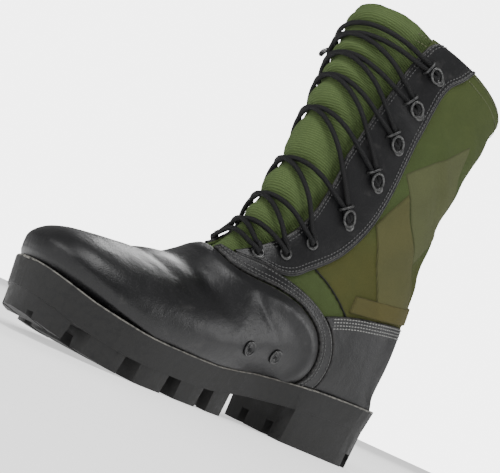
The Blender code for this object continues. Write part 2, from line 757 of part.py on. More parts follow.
def side_curve(points, shift):
    """A smooth line through side view points, moved sideways by shift."""
    knots = [Vector((along_sole(point.along), BOOT_HEIGHT * point.height)) for point in points]
    knots = [2 * knots[0] - knots[1], *knots, 2 * knots[-1] - knots[-2]]
    line = []
    for a, b, c, d in zip(knots, knots[1:], knots[2:], knots[3:]):
        for i in range(CURVE_STEPS):
            t = i / CURVE_STEPS
            line.append(0.5 * (2 * b + (c - a) * t + (2 * a - 5 * b + 4 * c - d) * t**2
                               + (3 * b - a - 3 * c + d) * t**3))
    line.append(knots[-2])
    moved = []
    for i, point in enumerate(line):
        run = line[min(i + 1, len(line) - 1)] - line[max(i - 1, 0)]
        moved.append(point + shift * Vector((-run.y, run.x)).normalized())
    return moved


def follow(line, other):
    """One line up to where it crosses another, and on along that."""
    for i, (a, b) in enumerate(zip(line, line[1:])):
        for j, (c, d) in enumerate(zip(other, other[1:])):
            hit = geometry.intersect_line_line_2d(a, b, c, d)
            if hit:
                return line[: i + 1] + [hit] + other[j + 1 :]
    return line + other


def side_prism(name, outline, low, high):
    """A cutter across the boot with a side view outline, between two distances from its middle."""
    return loft(name, [[(x, point[0], point[1]) for point in outline] for x in sorted((low, high))])


ABOVE = 1.3 * BOOT_HEIGHT
BELOW = -0.1 * BOOT_HEIGHT
AHEAD = 1.2 * TOE_TIP
BEHIND = -0.5 * TOE_TIP


def cut_piece(name, form, cutter, material):
    """The part of a layer inside one cutter."""
    piece = bpy.data.objects.new(name, form.data.copy())
    piece.data.materials.append(material)
    bpy.data.collections["jungle_boot"].objects.link(piece)
    combine(piece, "INTERSECT", cutter)
    return piece


def build_overlays(leather, webbing):
    """Leather and webbing layers over the canvas, each cut from a wall over the whole form."""
    layer = form_shell("leather_form", GAP + OVERLAY_WALL, OVERLAY_WALL)
    thin_layer = form_shell("webbing_form", GAP + WEBBING_WALL, WEBBING_WALL)
    half = 0.5 * SEAM_GAP
    reach = BALL_WIDTH

    seam = side_curve(VAMP_SEAM, half)
    outline = [*seam, (seam[-1].x, BELOW), (AHEAD, BELOW), (AHEAD, 0.5 * BOOT_HEIGHT)]
    cut_piece("vamp", layer, side_prism("vamp_outline", outline, -reach, reach), leather)

    seam = follow(side_curve(COUNTER_SEAM, half)[::-1], side_curve(STRIP_SEAM, -half))
    outline = [*seam, (seam[-1].x, BELOW), (BEHIND, BELOW), (BEHIND, seam[0].y)]
    cut_piece("counter", layer, side_prism("counter_outline", outline, -reach, reach), leather)

    seam = [point for point in side_curve(COUNTER_SEAM, -half) if point.x < 0.0]
    outline = [*seam, (BEHIND, seam[-1].y), (BEHIND, ABOVE), (seam[0].x, ABOVE)]
    spread = 0.5 * BACKSTAY_WIDTH
    cut_piece("backstay", thin_layer, side_prism("backstay_outline", outline, -spread, spread), webbing)

    strip = [*side_curve(STRIP_SEAM, half), *side_curve(VAMP_SEAM, -half)[::-1]]
    seam = follow(side_curve(STRIP_SEAM, -half), side_curve(EYESTAY_SEAM, 0.0))
    stay = [*seam, (seam[-1].x, ABOVE), (AHEAD, ABOVE), (AHEAD, seam[0].y)]
    for side in (MEDIAL, LATERAL):
        name = SIDE_NAMES[side]
        for part, outline in (("side_strip", strip), ("eyestay", stay)):
            cutter = side_prism(f"{part}_{name}_outline", outline, side * STAY_MIDDLE, side * reach)
            cut_piece(f"{part}_{name}", layer, cutter, leather)


def tongue_offset(u, arc):
    """Height of the tongue's outside over the upper's form: proud between the laces, under the eyestays."""
    under = CANVAS_WALL + TONGUE_CLEARANCE
    free = THROAT(u) - 0.3 * TONGUE_MARGIN
    share = min(1.0, abs(arc) / free)
    grown = min(1.0, max(0.0, (u - THROAT_START - 0.1) / 3))
    return -under + (under + TONGUE_BULGE) * grown * (1 - share**2) ** 1.5


def build_tongue(canvas):
    """Tongue from under the end of the vamp to above the collar, with a round top."""
    start, end = THROAT_START - 0.8, COLLAR_RING + TONGUE_TOP
    rows = [u for u in row_values() if u > start]
    rows = [start, *rows[:-1], *(COLLAR_RING + share * TONGUE_TOP for share in (-1.0, 0.0, 0.6, 0.88, 1.0))]
    mesh = bmesh.new()
    layers = [[], []]
    for u in rows:
        reach = THROAT(u) + TONGUE_MARGIN
        rounded = max(0.0, (u - end + 3 * TONGUE_TOP) / (3.1 * TONGUE_TOP))
        reach *= (1 - rounded**3) ** 0.5
        for layer, wall in zip(layers, (0.0, TONGUE_WALL)):
            arcs = [reach * (2 * j / TONGUE_COLUMNS - 1) for j in range(TONGUE_COLUMNS + 1)]
            layer.append([mesh.verts.new(raised(u, arc, tongue_offset(u, arc) - wall)) for arc in arcs])
    for layer in layers:
        add_grid(mesh, layer)
    inner_of = {}
    for outer_row, inner_row in zip(*layers):
        inner_of.update(zip(outer_row, inner_row))
    for edge in [edge for edge in mesh.edges if len(edge.link_faces) == 1]:
        first, last = edge.verts
        if first in inner_of and last in inner_of:
            mesh.faces.new((first, last, inner_of[last], inner_of[first]))
    bmesh.ops.recalc_face_normals(mesh, faces=mesh.faces)
    return new_object("tongue", mesh, canvas)


def find_spot(point, side):
    """The ring and arc of a side view point, on the inner or the outer side."""
    target = Vector((along_sole(point.along), BOOT_HEIGHT * point.height))

    def miss(u, arc):
        spot = place(u, arc)
        return Vector((spot.y, spot.z)) - target

    tries = [(u, side * share * ring_length(u, side)) for u in np.arange(1.5, COLLAR_RING, 0.5)
             for share in (0.15, 0.3, 0.45, 0.6, 0.75, 0.9)]
    u, arc = min(tries, key=lambda spot: miss(*spot).length)
    step_u, step_arc = 0.02, 0.0005
    for _ in range(12):
        here = miss(u, arc)
        by_u = (miss(u + step_u, arc) - here) / step_u
        by_arc = (miss(u, arc + step_arc) - here) / step_arc
        scale = by_u.x * by_arc.y - by_u.y * by_arc.x
        u -= (here.x * by_arc.y - here.y * by_arc.x) / scale
        arc -= (by_u.x * here.y - by_u.y * here.x) / scale
    return u, arc


def seat(u, arc, height):
    """A frame on the upper's outside: X to the throat, Y up along it and Z out, at a height."""
    normal = outward(u, arc)
    along = (place(u + 0.1, arc) - place(u - 0.1, arc)).normalized()
    throatward = (MEDIAL if arc > 0 else LATERAL) * along.cross(normal)
    if throatward.dot(place(u, 0.8 * arc) - place(u, arc)) < 0:
        throatward = -throatward
    throatward = (throatward - normal * throatward.dot(normal)).normalized()
    up = normal.cross(throatward)
    spot = place(u, arc) + normal * height
    return Matrix((
        (throatward.x, up.x, normal.x, spot.x),
        (throatward.y, up.y, normal.y, spot.y),
        (throatward.z, up.z, normal.z, spot.z),
        (0.0, 0.0, 0.0, 1.0),
    ))


def ring_solid(name, frame, bore, outer, height, metal, sides=12):
    """A low ring with a sloped rim, lying in a frame."""
    profile = [(0.5 * bore, 0.0), (0.5 * outer, 0.0), (0.5 * outer - 0.35 * height, height), (0.5 * bore, height)]
    mesh = bmesh.new()
    grid = []
    for i in range(sides):
        turn = 2 * math.pi * i / sides
        grid.append([
            mesh.verts.new(frame @ Vector((r * math.cos(turn), r * math.sin(turn), z))) for r, z in profile
        ])
    add_grid(mesh, grid + grid[:1], closed=True)
    bmesh.ops.recalc_face_normals(mesh, faces=mesh.faces)
    return new_object(name, mesh, metal)


def wire_loop(name, frame, metal, steps=10, sides=5):
    """A bent wire ring that lifts off the leather towards the throat."""
    mesh = bmesh.new()
    radius = 0.5 * LOOP_WIRE
    centres = []
    for i in range(steps):
        turn = 2 * math.pi * i / steps
        lift = LOOP_LIFT * (0.5 + 0.5 * math.cos(turn)) ** 1.5
        centres.append(Vector((0.5 * LOOP_LENGTH * math.cos(turn), 0.5 * LOOP_WIDTH * math.sin(turn), radius + lift)))
    grid = []
    for i, centre in enumerate(centres):
        run = (centres[(i + 1) % steps] - centres[i - 1]).normalized()
        out = Vector((centre.x, centre.y, 0.0)).normalized()
        out = (out - run * out.dot(run)).normalized()
        up = run.cross(out)
        row = []
        for j in range(sides):
            turn = 2 * math.pi * (j + 0.5) / sides
            row.append(mesh.verts.new(frame @ (centre + radius * (math.cos(turn) * out + math.sin(turn) * up))))
        grid.append(row)
    add_grid(mesh, grid + grid[:1], closed=True)
    bmesh.ops.recalc_face_normals(mesh, faces=mesh.faces)
    return new_object(name, mesh, metal)


def tube(name, points, diameter, material=None, sides=5):
    """A cord through points, with flat ends."""
    sections = []
    out = Vector((0.0, 0.0, 1.0))
    for i, point in enumerate(points):
        run = (points[min(i + 1, len(points) - 1)] - points[max(i - 1, 0)]).normalized()
        out = (out - run * out.dot(run)).normalized()
        side = run.cross(out)
        turns = [2 * math.pi * (j + 0.5) / sides for j in range(sides)]
        sections.append([point + 0.5 * diameter * (math.cos(t) * out + math.sin(t) * side) for t in turns])
    return loft(name, sections, material)


def lace_height(u, arc):
    """How far a lace's middle runs outside the upper's form: over the eyestay's edge and the tongue."""
    clear = LACE_GAP + 0.5 * CORD_DIAMETER
    edge = GAP + OVERLAY_WALL + clear
    middle = max(tongue_offset(u, 0.0), 0.0) + clear
    share = min(1.0, abs(arc) / THROAT(u))
    return edge + (middle - edge) * (1 - share**4)


def lace_run(start, end, steps=9):
    """Points of a lace that lies over the tongue from one station's inner edge to another's."""
    points = []
    for i in range(steps + 1):
        swing = 2 * i / steps - 1
        share = 0.5 + 0.5 * math.copysign(abs(swing) ** 1.3, swing)
        u = start[0] + (end[0] - start[0]) * share
        arc = start[1] + (end[1] - start[1]) * share
        points.append(raised(u, arc, lace_height(u, arc)))
    return points


def short_of(spot, reach):
    """A spot moved towards the throat."""
    u, arc = spot
    return u, arc - reach * (1 if arc > 0 else -1)


def shifted(spot, distance):
    """A spot moved along the throat, up where distance is more than zero."""
    u, arc = spot
    step = 0.1
    return u + step * distance / (place(u + step, arc) - place(u, arc)).length, arc


def build_fittings(metal):
    """Drain vents, eyelets and speed loops. Gives the lace stations of each side, from the toe up."""
    on_leather = 2 * GAP + OVERLAY_WALL
    for i, point in enumerate(VENTS):
        frame = seat(*find_spot(point, MEDIAL), on_leather)
        ring_solid(f"drain_vent_{i + 1}", frame, VENT_BORE, VENT_OUTER, VENT_HEIGHT, metal)
    stations = {}
    for side in (MEDIAL, LATERAL):
        name = SIDE_NAMES[side]
        spots = []
        for i, point in enumerate(EYELETS):
            spot = find_spot(point, side)
            ring_solid(
                f"eyelet_{name}_{i + 1}", seat(*spot, on_leather), EYELET_BORE, EYELET_OUTER, EYELET_HEIGHT, metal
            )
            spots.append(short_of(spot, 0.5 * EYELET_OUTER + LACE_CLEARANCE))
        for i, point in enumerate(LOOPS):
            spot = find_spot(point, side)
            wire_loop(f"speed_loop_{name}_{i + 1}", seat(*spot, on_leather), metal)
            spots.append(short_of(spot, 0.5 * (LOOP_LENGTH + LOOP_WIRE) + LACE_CLEARANCE))
        stations[side] = spots
    return stations


def over_tongue(spot, point):
    """Where an end of the lace runs, from its offsets to the knot's spot."""
    u, arc = shifted(spot, point.up * CORD_DIAMETER)
    arc -= point.across * CORD_DIAMETER
    return raised(u, arc, lace_height(u, arc) + point.out * CORD_DIAMETER)


def cord_curve(name, points, diameter, material):
    """A free end of the lace, as a round curve with closed ends."""
    curve = bpy.data.curves.new(name, "CURVE")
    curve.dimensions = "3D"
    spline = curve.splines.new("POLY")
    smooth = []
    knots = [2 * points[0] - points[1], *points, 2 * points[-1] - points[-2]]
    for a, b, c, d in zip(knots, knots[1:], knots[2:], knots[3:]):
        smooth += [b, (9 * (b + c) - a - d) / 16]
    smooth.append(points[-1])
    spline.points.add(len(smooth) - 1)
    for target, point in zip(spline.points, smooth):
        target.co = (*point, 1.0)
    curve.bevel_depth = 0.5 * diameter
    curve.bevel_resolution = 2
    curve.use_fill_caps = True
    curve.materials.append(material)
    obj = bpy.data.objects.new(name, curve)
    bpy.data.collections["jungle_boot"].objects.link(obj)


def build_lace(stations, cord):
    """Crossings between stations, a bar at each end of them, and the knot with the lace's two ends."""
    medial, lateral = stations[MEDIAL], stations[LATERAL]
    apart = 0.5 * CORD_DIAMETER + 0.5 * LACE_GAP
    bar = [shifted(spots[0], -apart) for spots in (medial, lateral)]
    tube("lace_bar_bottom", lace_run(*bar), CORD_DIAMETER, cord)
    for i in range(len(medial) - 1):
        low = [shifted(spots[i], apart) for spots in (medial, lateral)]
        high = [shifted(spots[i + 1], -apart) for spots in (medial, lateral)]
        crossing = tube(f"lace_cross_{i + 1}", lace_run(low[0], high[1]), CORD_DIAMETER, cord)
        other = tube(f"lace_other_{i + 1}", lace_run(low[1], high[0]), CORD_DIAMETER)
        combine(crossing, "UNION", other)
    knot = short_of(shifted(lateral[-1], apart + 0.3 * CORD_DIAMETER), 0.45 * KNOT_SIZE[0])
    last = short_of(shifted(lateral[-1], apart), 0.95 * KNOT_SIZE[0] + LACE_GAP)
    tube("lace_bar_top", lace_run(shifted(medial[-1], apart), last), CORD_DIAMETER, cord)
    mesh = bmesh.new()
    bmesh.ops.create_uvsphere(mesh, u_segments=10, v_segments=6, radius=0.5)
    frame = seat(*knot, lace_height(*knot) + 0.5 * (KNOT_SIZE[2] - CORD_DIAMETER) + GAP)
    for vert in mesh.verts:
        vert.co = frame @ Vector([vert.co[k] * KNOT_SIZE[k] for k in range(3)])
    new_object("lace_knot", mesh, cord)
    cord_curve("lace_end_aglet", [over_tongue(knot, point) for point in AGLET_END], CORD_DIAMETER, cord)
    cord_curve("lace_end_loose", [over_tongue(knot, point) for point in LOOSE_END], CORD_DIAMETER, cord)


def main():
    for obj in list(bpy.data.objects):
        bpy.data.objects.remove(obj)
    for name in ("jungle_boot", "cutters"):
        bpy.context.scene.collection.children.link(bpy.data.collections.new(name))
    rubber = new_material("rubber", (0.035, 0.036, 0.038), 0.6)
    leather = new_material("leather", (0.02, 0.02, 0.022), 0.4)
    canvas = new_material("canvas", (0.11, 0.14, 0.055), 0.85)
    webbing = new_material("webbing", (0.17, 0.16, 0.08), 0.85)
    lining = new_material("lining", (0.16, 0.13, 0.09), 0.8)
    metal = new_material("metal", (0.05, 0.05, 0.05), 0.35, 1.0)
    cord = new_material("cord", (0.015, 0.015, 0.016), 0.8)
    build_outsole(rubber)
    build_insole(lining)
    form_shell("upper", 0.0, CANVAS_WALL, canvas)
    build_tongue(canvas)
    build_overlays(leather, webbing)
    build_lace(build_fittings(metal), cord)


main()
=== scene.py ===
"""Looks of the jungle boot: leather panels, canvas, tongue, lace, fittings and sole over its CAD frame.

Everything is in metres in the frame of the CAD model: X to the outer side of the right foot, Y to the
toe and Z up. The upper's outside is one form, the last, given by rings that run over the boot. Every
panel is a grid whose corners lie on the last, so seams, creases and stitches share one set of places.
"""

import logging
import math
from dataclasses import dataclass, field
from enum import Enum
from typing import Callable, NamedTuple, Optional, Sequence, Union

import bmesh
import bpy
import numpy as np
from mathutils import Matrix, Vector


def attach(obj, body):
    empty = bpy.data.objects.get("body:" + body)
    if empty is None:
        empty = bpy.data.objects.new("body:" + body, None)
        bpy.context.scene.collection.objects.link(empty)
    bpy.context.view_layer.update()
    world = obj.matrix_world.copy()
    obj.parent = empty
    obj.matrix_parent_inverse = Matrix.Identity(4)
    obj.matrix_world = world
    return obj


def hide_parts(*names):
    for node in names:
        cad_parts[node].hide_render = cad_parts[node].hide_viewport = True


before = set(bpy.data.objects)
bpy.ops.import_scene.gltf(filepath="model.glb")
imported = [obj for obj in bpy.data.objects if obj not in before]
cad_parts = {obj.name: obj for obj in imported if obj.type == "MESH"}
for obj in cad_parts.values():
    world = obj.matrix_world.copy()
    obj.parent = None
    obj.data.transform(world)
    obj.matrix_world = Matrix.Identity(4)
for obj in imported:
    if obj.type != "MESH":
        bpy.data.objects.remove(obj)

LOG = logging.getLogger("jungle_boot")
Array = np.ndarray
Mesh = bmesh.types.BMesh
Finish = bpy.types.Material
Colour = tuple[float, float, float]
Row = tuple[float, ...]
Corners = dict[str, Array]


class Side(Enum):
    """The two sides of the boot, with the sign of their X."""

    MEDIAL = -1
    LATERAL = 1

    @property
    def label(self) -> str:
        """The side's name in piece names."""
        return self.name.lower()


class SidePoint(NamedTuple):
    """A point of a side view: shares of the sole's length from its back and of the boot's height."""

    along: float
    height: float


class Ring(NamedTuple):
    """One ring of the last, as in the CAD source. Only the shaft's rings have a back and a lift."""

    end: float
    size: float
    medial: float
    lateral: float
    top: float
    rise: float
    level: float
    crown: float
    tuck: float
    ridge: float
    back: float = 0.0
    lift: float = 0.0


class Spot(NamedTuple):
    """A place on the last: a ring and the distance from its front, minus to the inner side."""

    u: float
    arc: float


def smooth_curve(stations: Sequence[float], values: Sequence[float]) -> Callable[[Array], Array]:
    """Make a function through values that never swings past them.

    Args:
        stations: Rising places of the values.
        values: The values there.

    Returns:
        A function of a number or an array.
    """
    x = np.asarray(stations, float)
    y = np.asarray(values, float)
    steps = np.diff(x)
    slopes = np.diff(y) / steps
    tangents = np.zeros_like(y)
    tangents[0], tangents[-1] = slopes[0], slopes[-1]
    for i in range(1, len(y) - 1):
        before, after = slopes[i - 1], slopes[i]
        if before * after > 0:
            left = 2 * steps[i] + steps[i - 1]
            right = steps[i] + 2 * steps[i - 1]
            tangents[i] = (left + right) / (left / before + right / after)

    def curve(at: Array) -> Array:
        """Read the curve.

        Args:
            at: Places on it.

        Returns:
            Its values there.
        """
        at = np.clip(np.asarray(at, float), x[0], x[-1])
        i = np.clip(np.searchsorted(x, at) - 1, 0, len(steps) - 1)
        t = (at - x[i]) / steps[i]
        ends = y[i] * (1 + 2 * t) * (1 - t) ** 2 + y[i + 1] * t * t * (3 - 2 * t)
        return ends + steps[i] * (tangents[i] * t * (1 - t) ** 2 - tangents[i + 1] * t * t * (1 - t))

    return curve


def soft_step(low: float, high: float, at: Array) -> Array:
    """A smooth rise from 0 at low to 1 at high."""
    t = np.clip((np.asarray(at, float) - low) / (high - low), 0.0, 1.0)
    return t * t * (3 - 2 * t)


def through(points: Array, steps: int = 6) -> Array:
    """Run a smooth line through points.

    Args:
        points: Rows of two or three coordinates.
        steps: Points of the line to each stretch.

    Returns:
        The rows of the line.
    """
    p = np.asarray(points, float)
    p = np.vstack([2 * p[0] - p[1], p, 2 * p[-1] - p[-2]])
    rows = []
    for a, b, c, d in zip(p, p[1:], p[2:], p[3:]):
        for i in range(steps):
            t = i / steps
            rows.append(0.5 * (2 * b + (c - a) * t + (2 * a - 5 * b + 4 * c - d) * t**2
                               + (3 * b - a - 3 * c + d) * t**3))
    rows.append(p[-2])
    return np.array(rows)


def evenly(line: Array, pitch: float) -> Array:
    """Points along a line at an even distance.

    Args:
        line: Rows of coordinates.
        pitch: The distance wanted.

    Returns:
        The new rows.
    """
    lengths = np.concatenate([[0.0], np.cumsum(np.linalg.norm(np.diff(line, axis=0), axis=1))])
    count = max(2, int(round(lengths[-1] / pitch)) + 1)
    at = np.linspace(0.0, lengths[-1], count)
    return np.column_stack([np.interp(at, lengths, line[:, k]) for k in range(line.shape[1])])


def distance_to(points: Array, line: Array) -> tuple[Array, Array]:
    """Measure how far points are from a line.

    Args:
        points: Rows of coordinates.
        line: Rows of coordinates of a polyline.

    Returns:
        The distances, and the shares of the line's length at which the nearest places lie.
    """
    starts, runs = line[:-1], np.diff(line, axis=0)
    squares = np.maximum((runs**2).sum(1), 1e-18)
    lengths = np.sqrt(squares)
    before = np.concatenate([[0.0], np.cumsum(lengths)])
    best = np.full(len(points), np.inf)
    share = np.zeros(len(points))
    for a, run, square, length, gone in zip(starts, runs, squares, lengths, before):
        t = np.clip(((points - a) @ run) / square, 0.0, 1.0)
        d = np.linalg.norm(points - (a + t[:, None] * run), axis=1)
        near = d < best
        best[near] = d[near]
        share[near] = (gone + t[near] * length) / before[-1]
    return best, share


def over(found: Array, height: Union[float, Array]) -> Array:
    """Points at a height over sampled places."""
    return found[..., :3] + found[..., 3:6] * np.asarray(height)[..., None]


def sewn_at(found: Array, height: float) -> tuple[Array, Array]:
    """Points at a height over sampled places, and the outward normals there."""
    return over(found, height), found[:, 3:6]


def skin(found: Array, height: Array, cloth: Optional[Array] = None,
         **carried: Array) -> Corners:
    """Gather what a grid needs of its corners.

    Args:
        found: Rows of the last's table at the corners.
        height: Heights of the corners over the last.
        cloth: Coordinates along the cloth, or None for the last's own arcs and runs.
        **carried: Values that the corners carry.

    Returns:
        Points, cloth coordinates, outward normals and carried values by name.
    """
    made = {"points": over(found, height), "cloth": found[:, 6:8] if cloth is None else cloth}
    return made | {"outward": [Vector(row) for row in found[:, 3:6]]} | carried


@dataclass
class Last:
    """The form of the upper's outside and the sole's edge, from the sizes of the CAD source."""

    sole_length: float = 0.304
    heel_setback: float = 0.039
    ball_width: float = 0.110
    waist_width: float = 0.064
    heel_width: float = 0.078
    toe_round: float = 0.078
    heel_round: float = 0.036
    toe_shift: float = 0.012
    outline_power: float = 2.15
    heel_height: float = 0.044
    forepart_height: float = 0.027
    toe_spring: float = 0.013
    sole_edge: float = 0.0055
    boot_height: float = 0.297
    ankle_width: float = 0.080
    collar_width: float = 0.100
    throat_width: float = 0.100
    foot_blend: float = 0.014
    straight_share: float = 0.75
    closed_ring: int = 15
    collar_ring: int = 23
    throat_start: float = 9.2
    step: float = 0.05
    half_columns: int = 180
    arc_steps: int = 72
    smoothings: int = 70
    first_searched: float = 1.0
    last_searched: float = 23.6
    beyond_ends: float = 0.2
    table: Array = field(init=False)

    def __post_init__(self) -> None:
        """Work out the curves and the table of points, normals, arcs and runs."""
        ball, heel, waist = self.ball_width, self.heel_width, self.waist_width
        ankle, collar = self.ankle_width, self.collar_width
        self.toe_tip = self.sole_length - self.heel_setback
        self.heel_back = -self.heel_setback
        self.toe_corner = self.toe_tip - self.toe_round
        self.heel_corner = self.heel_back + self.heel_round
        outline = ((0.12, heel, 0.50, 0.50), (0.27, heel, 0.46, 0.48), (0.40, waist, 0.46, 0.56),
                   (0.51, ball, 0.35, 0.39), (0.62, ball, 0.44, 0.46), (0.74, ball, 0.49, 0.50))
        at = [self.along(row[0]) for row in outline]
        self.half_widths = {
            Side.MEDIAL: smooth_curve(at, [row[1] * row[2] for row in outline]),
            Side.LATERAL: smooth_curve(at, [row[1] * row[3] for row in outline]),
        }
        back, fore = self.heel_height, self.forepart_height
        levels = ((0.00, back), (0.25, 0.90 * back), (0.42, 0.75 * back), (0.58, fore), (0.74, 0.96 * fore),
                  (0.88, 1.10 * fore), (1.00, 0.97 * (fore + self.toe_spring)))
        self.feather = smooth_curve([self.along(row[0]) for row in levels], [row[1] for row in levels])
        self.rings = (
            Ring(0.000, ball, 0.440, 0.440, 0.982, 0.129, 0.06, 2.05, 2.0, 0.105),
            Ring(0.006, ball, 0.450, 0.453, 0.993, 0.153, 0.12, 2.10, 2.0, 0.105),
            Ring(0.016, ball, 0.460, 0.466, 0.992, 0.176, 0.18, 2.10, 2.0, 0.102),
            Ring(0.032, ball, 0.466, 0.472, 0.974, 0.198, 0.22, 2.10, 2.0, 0.096),
            Ring(0.056, ball, 0.468, 0.478, 0.940, 0.213, 0.26, 2.05, 2.0, 0.088),
            Ring(0.090, ball, 0.468, 0.478, 0.886, 0.224, 0.28, 2.00, 2.0, 0.080),
            Ring(0.140, ball, 0.466, 0.478, 0.820, 0.235, 0.30, 1.95, 2.0, 0.070),
            Ring(0.200, ball, 0.454, 0.470, 0.755, 0.252, 0.31, 1.90, 2.0, 0.060),
            Ring(0.260, ball, 0.430, 0.450, 0.694, 0.278, 0.31, 1.85, 2.0, 0.052),
            Ring(0.330, ball, 0.396, 0.420, 0.637, 0.318, 0.31, 1.80, 2.0, 0.044),
            Ring(0.410, ball, 0.360, 0.396, 0.586, 0.364, 0.31, 1.80, 2.0, 0.036),
            Ring(0.500, ankle, 0.462, 0.532, 0.545, 0.426, 0.31, 1.85, 2.0, 0.028),
            Ring(0.600, ankle, 0.449, 0.506, 0.514, 0.500, 0.31, 1.90, 2.0, 0.020),
            Ring(0.710, ankle, 0.455, 0.494, 0.494, 0.580, 0.32, 1.95, 1.9, 0.012),
            Ring(0.830, ankle, 0.468, 0.494, 0.486, 0.658, 0.34, 2.00, 1.6, 0.006),
            Ring(1.000, ankle, 0.487, 0.506, 0.483, 0.726, 0.38, 2.00, 1.0, 0.0),
            Ring(1.000, ankle, 0.490, 0.509, 0.482, 0.769, 0.40, 2.00, 1.0, 0.0, -0.012, 0.111),
            Ring(1.000, ankle, 0.494, 0.509, 0.480, 0.806, 0.42, 2.00, 1.0, 0.0, -0.006, 0.225),
            Ring(1.000, ankle, 0.498, 0.512, 0.478, 0.839, 0.44, 2.00, 1.0, 0.0, 0.010, 0.340),
            Ring(1.000, ankle, 0.512, 0.526, 0.476, 0.873, 0.46, 2.00, 1.0, 0.0, 0.016, 0.458),
            Ring(1.000, collar, 0.446, 0.456, 0.474, 0.905, 0.48, 2.00, 1.0, 0.0, 0.010, 0.581),
            Ring(1.000, collar, 0.468, 0.476, 0.471, 0.937, 0.49, 2.00, 1.0, 0.0, -0.006, 0.704),
            Ring(1.000, collar, 0.486, 0.490, 0.468, 0.968, 0.50, 2.00, 1.0, 0.0, -0.021, 0.822),
            Ring(1.000, collar, 0.500, 0.500, 0.464, 1.000, 0.50, 2.00, 1.0, 0.0, -0.035, 0.941),
            Ring(1.000, collar, 0.505, 0.505, 0.456, 1.078, 0.50, 2.00, 1.0, 0.0, -0.045, 1.030),
        )
        throat = ((0.0, 0.03), (9.2, 0.13), (10.0, 0.17), (11.0, 0.24), (12.0, 0.31), (13.0, 0.35),
                  (15.0, 0.38), (18.0, 0.41), (21.0, 0.45), (23.0, 0.50), (24.0, 0.50))
        self.throat = smooth_curve([row[0] for row in throat], [self.throat_width * row[1] for row in throat])
        self.columns = self.ring_columns()
        self.table = self.fill_table()

    def along(self, share: float) -> float:
        """Y of a share of the sole's length, from its back."""
        return share * self.sole_length - self.heel_setback

    def ring_columns(self) -> dict[str, Callable[[Array], Array]]:
        """Make the curves through the rings' values.

        Returns:
            A function of the ring's number for each value.
        """
        count = len(self.rings)
        high = self.boot_height - self.heel_height
        made = {
            "end": [ring.end for ring in self.rings],
            "medial": [ring.size * ring.medial for ring in self.rings],
            "lateral": [ring.size * ring.lateral for ring in self.rings],
            "top": [self.along(ring.top) for ring in self.rings],
            "rise": [self.boot_height * ring.rise for ring in self.rings],
            "level": [ring.level for ring in self.rings],
            "crown": [ring.crown for ring in self.rings],
            "tuck": [ring.tuck for ring in self.rings],
            "ridge": [-self.ball_width * ring.ridge for ring in self.rings],
        }
        shaft = self.rings[self.closed_ring:]
        curves = {name: smooth_curve(range(count), values) for name, values in made.items()}
        stations = range(self.closed_ring, count)
        start = self.heel_back + self.sole_edge
        curves["back"] = smooth_curve(stations, [start + self.sole_length * ring.back for ring in shaft])
        curves["lift"] = smooth_curve(stations, [self.heel_height + high * ring.lift for ring in shaft])
        return curves

    def centre_line(self, y: Array) -> Array:
        """X of the middle of the sole."""
        start = self.along(0.6)
        return -self.toe_shift * np.maximum(0.0, (np.asarray(y) - start) / (self.toe_tip - start)) ** 2

    def outline_x(self, y: Array, side: Side, inset: float = 0.0) -> Array:
        """Find the sole's edge.

        Args:
            y: Places along the boot.
            side: The side of the boot.
            inset: How far inside the edge the line runs.

        Returns:
            X of the line at each place.
        """
        y = np.asarray(y, float)
        half = self.half_widths[side](y) - inset
        power = self.outline_power
        tip, back = self.toe_tip - inset, self.heel_back + inset
        front = np.clip((y - self.toe_corner) / (tip - self.toe_corner), 0.0, 1.0)
        rear = np.clip((self.heel_corner - y) / (self.heel_corner - back), 0.0, 1.0)
        half = half * (1 - front**power) ** (1 / power) * (1 - rear**power) ** (1 / power)
        return self.centre_line(y) + side.value * half

    def ring_end(self, share: float, side: Side) -> Array:
        """Find where a ring meets the sole's edge.

        Args:
            share: Share of the way from the toe's corner to the back of the heel.
            side: The side of the boot.

        Returns:
            The point.
        """
        if share < self.straight_share:
            y = self.toe_corner + (self.heel_corner - self.toe_corner) * share / self.straight_share
        else:
            turn = 0.5 * math.pi * (share - self.straight_share) / (1 - self.straight_share)
            y = self.heel_corner - (self.heel_corner - self.heel_back - self.sole_edge) * math.sin(turn)
        return np.array([float(self.outline_x(y, side, self.sole_edge)), y, float(self.feather(y))])

    def half_ring(self, u: float, side: Side) -> tuple[Array, Array]:
        """Make one half ring.

        Args:
            u: The ring's number.
            side: The side of the boot.

        Returns:
            Points from the front down, and their distances from the front.
        """
        turn = np.pi * np.arange(self.arc_steps + 1) / self.arc_steps
        at = max(u, 1.0)
        value = {name: float(curve(at)) for name, curve in self.columns.items()}
        top = np.array([value["ridge"], value["top"], value["rise"]])
        if at < self.closed_ring:
            end = self.ring_end(value["end"], side)
        else:
            end = np.array([0.0, value["back"], value["lift"]])
        middle = np.array([float(self.centre_line(end[1])), end[1], end[2]])
        start = abs(end[0] - middle[0])
        widest = max(value[side.label], start)
        level, crown = value["level"], value["crown"]
        upper = turn <= 0.5 * np.pi + 1e-9
        cosine, sine = np.cos(turn), np.maximum(0.0, np.sin(turn))
        rise = np.where(upper, level + (1 - level) * np.abs(cosine) ** (2 / crown), level * (1 + cosine))
        out = np.where(upper, widest * sine ** (2 / crown), start + (widest - start) * sine ** value["tuck"])
        points = middle + (top - middle) * rise[:, None]
        points[:, 0] += side.value * out
        if u < 1.0:
            y = self.toe_corner + (self.toe_tip - self.sole_edge - self.toe_corner) * np.cos(0.5 * turn)
            toe = np.column_stack([self.outline_x(y, side, self.sole_edge), y, self.feather(y)])
            points = (1 - u) * toe + u * points
        lengths = np.linalg.norm(np.diff(points, axis=0), axis=1)
        return points, np.concatenate([[0.0], np.cumsum(lengths)])

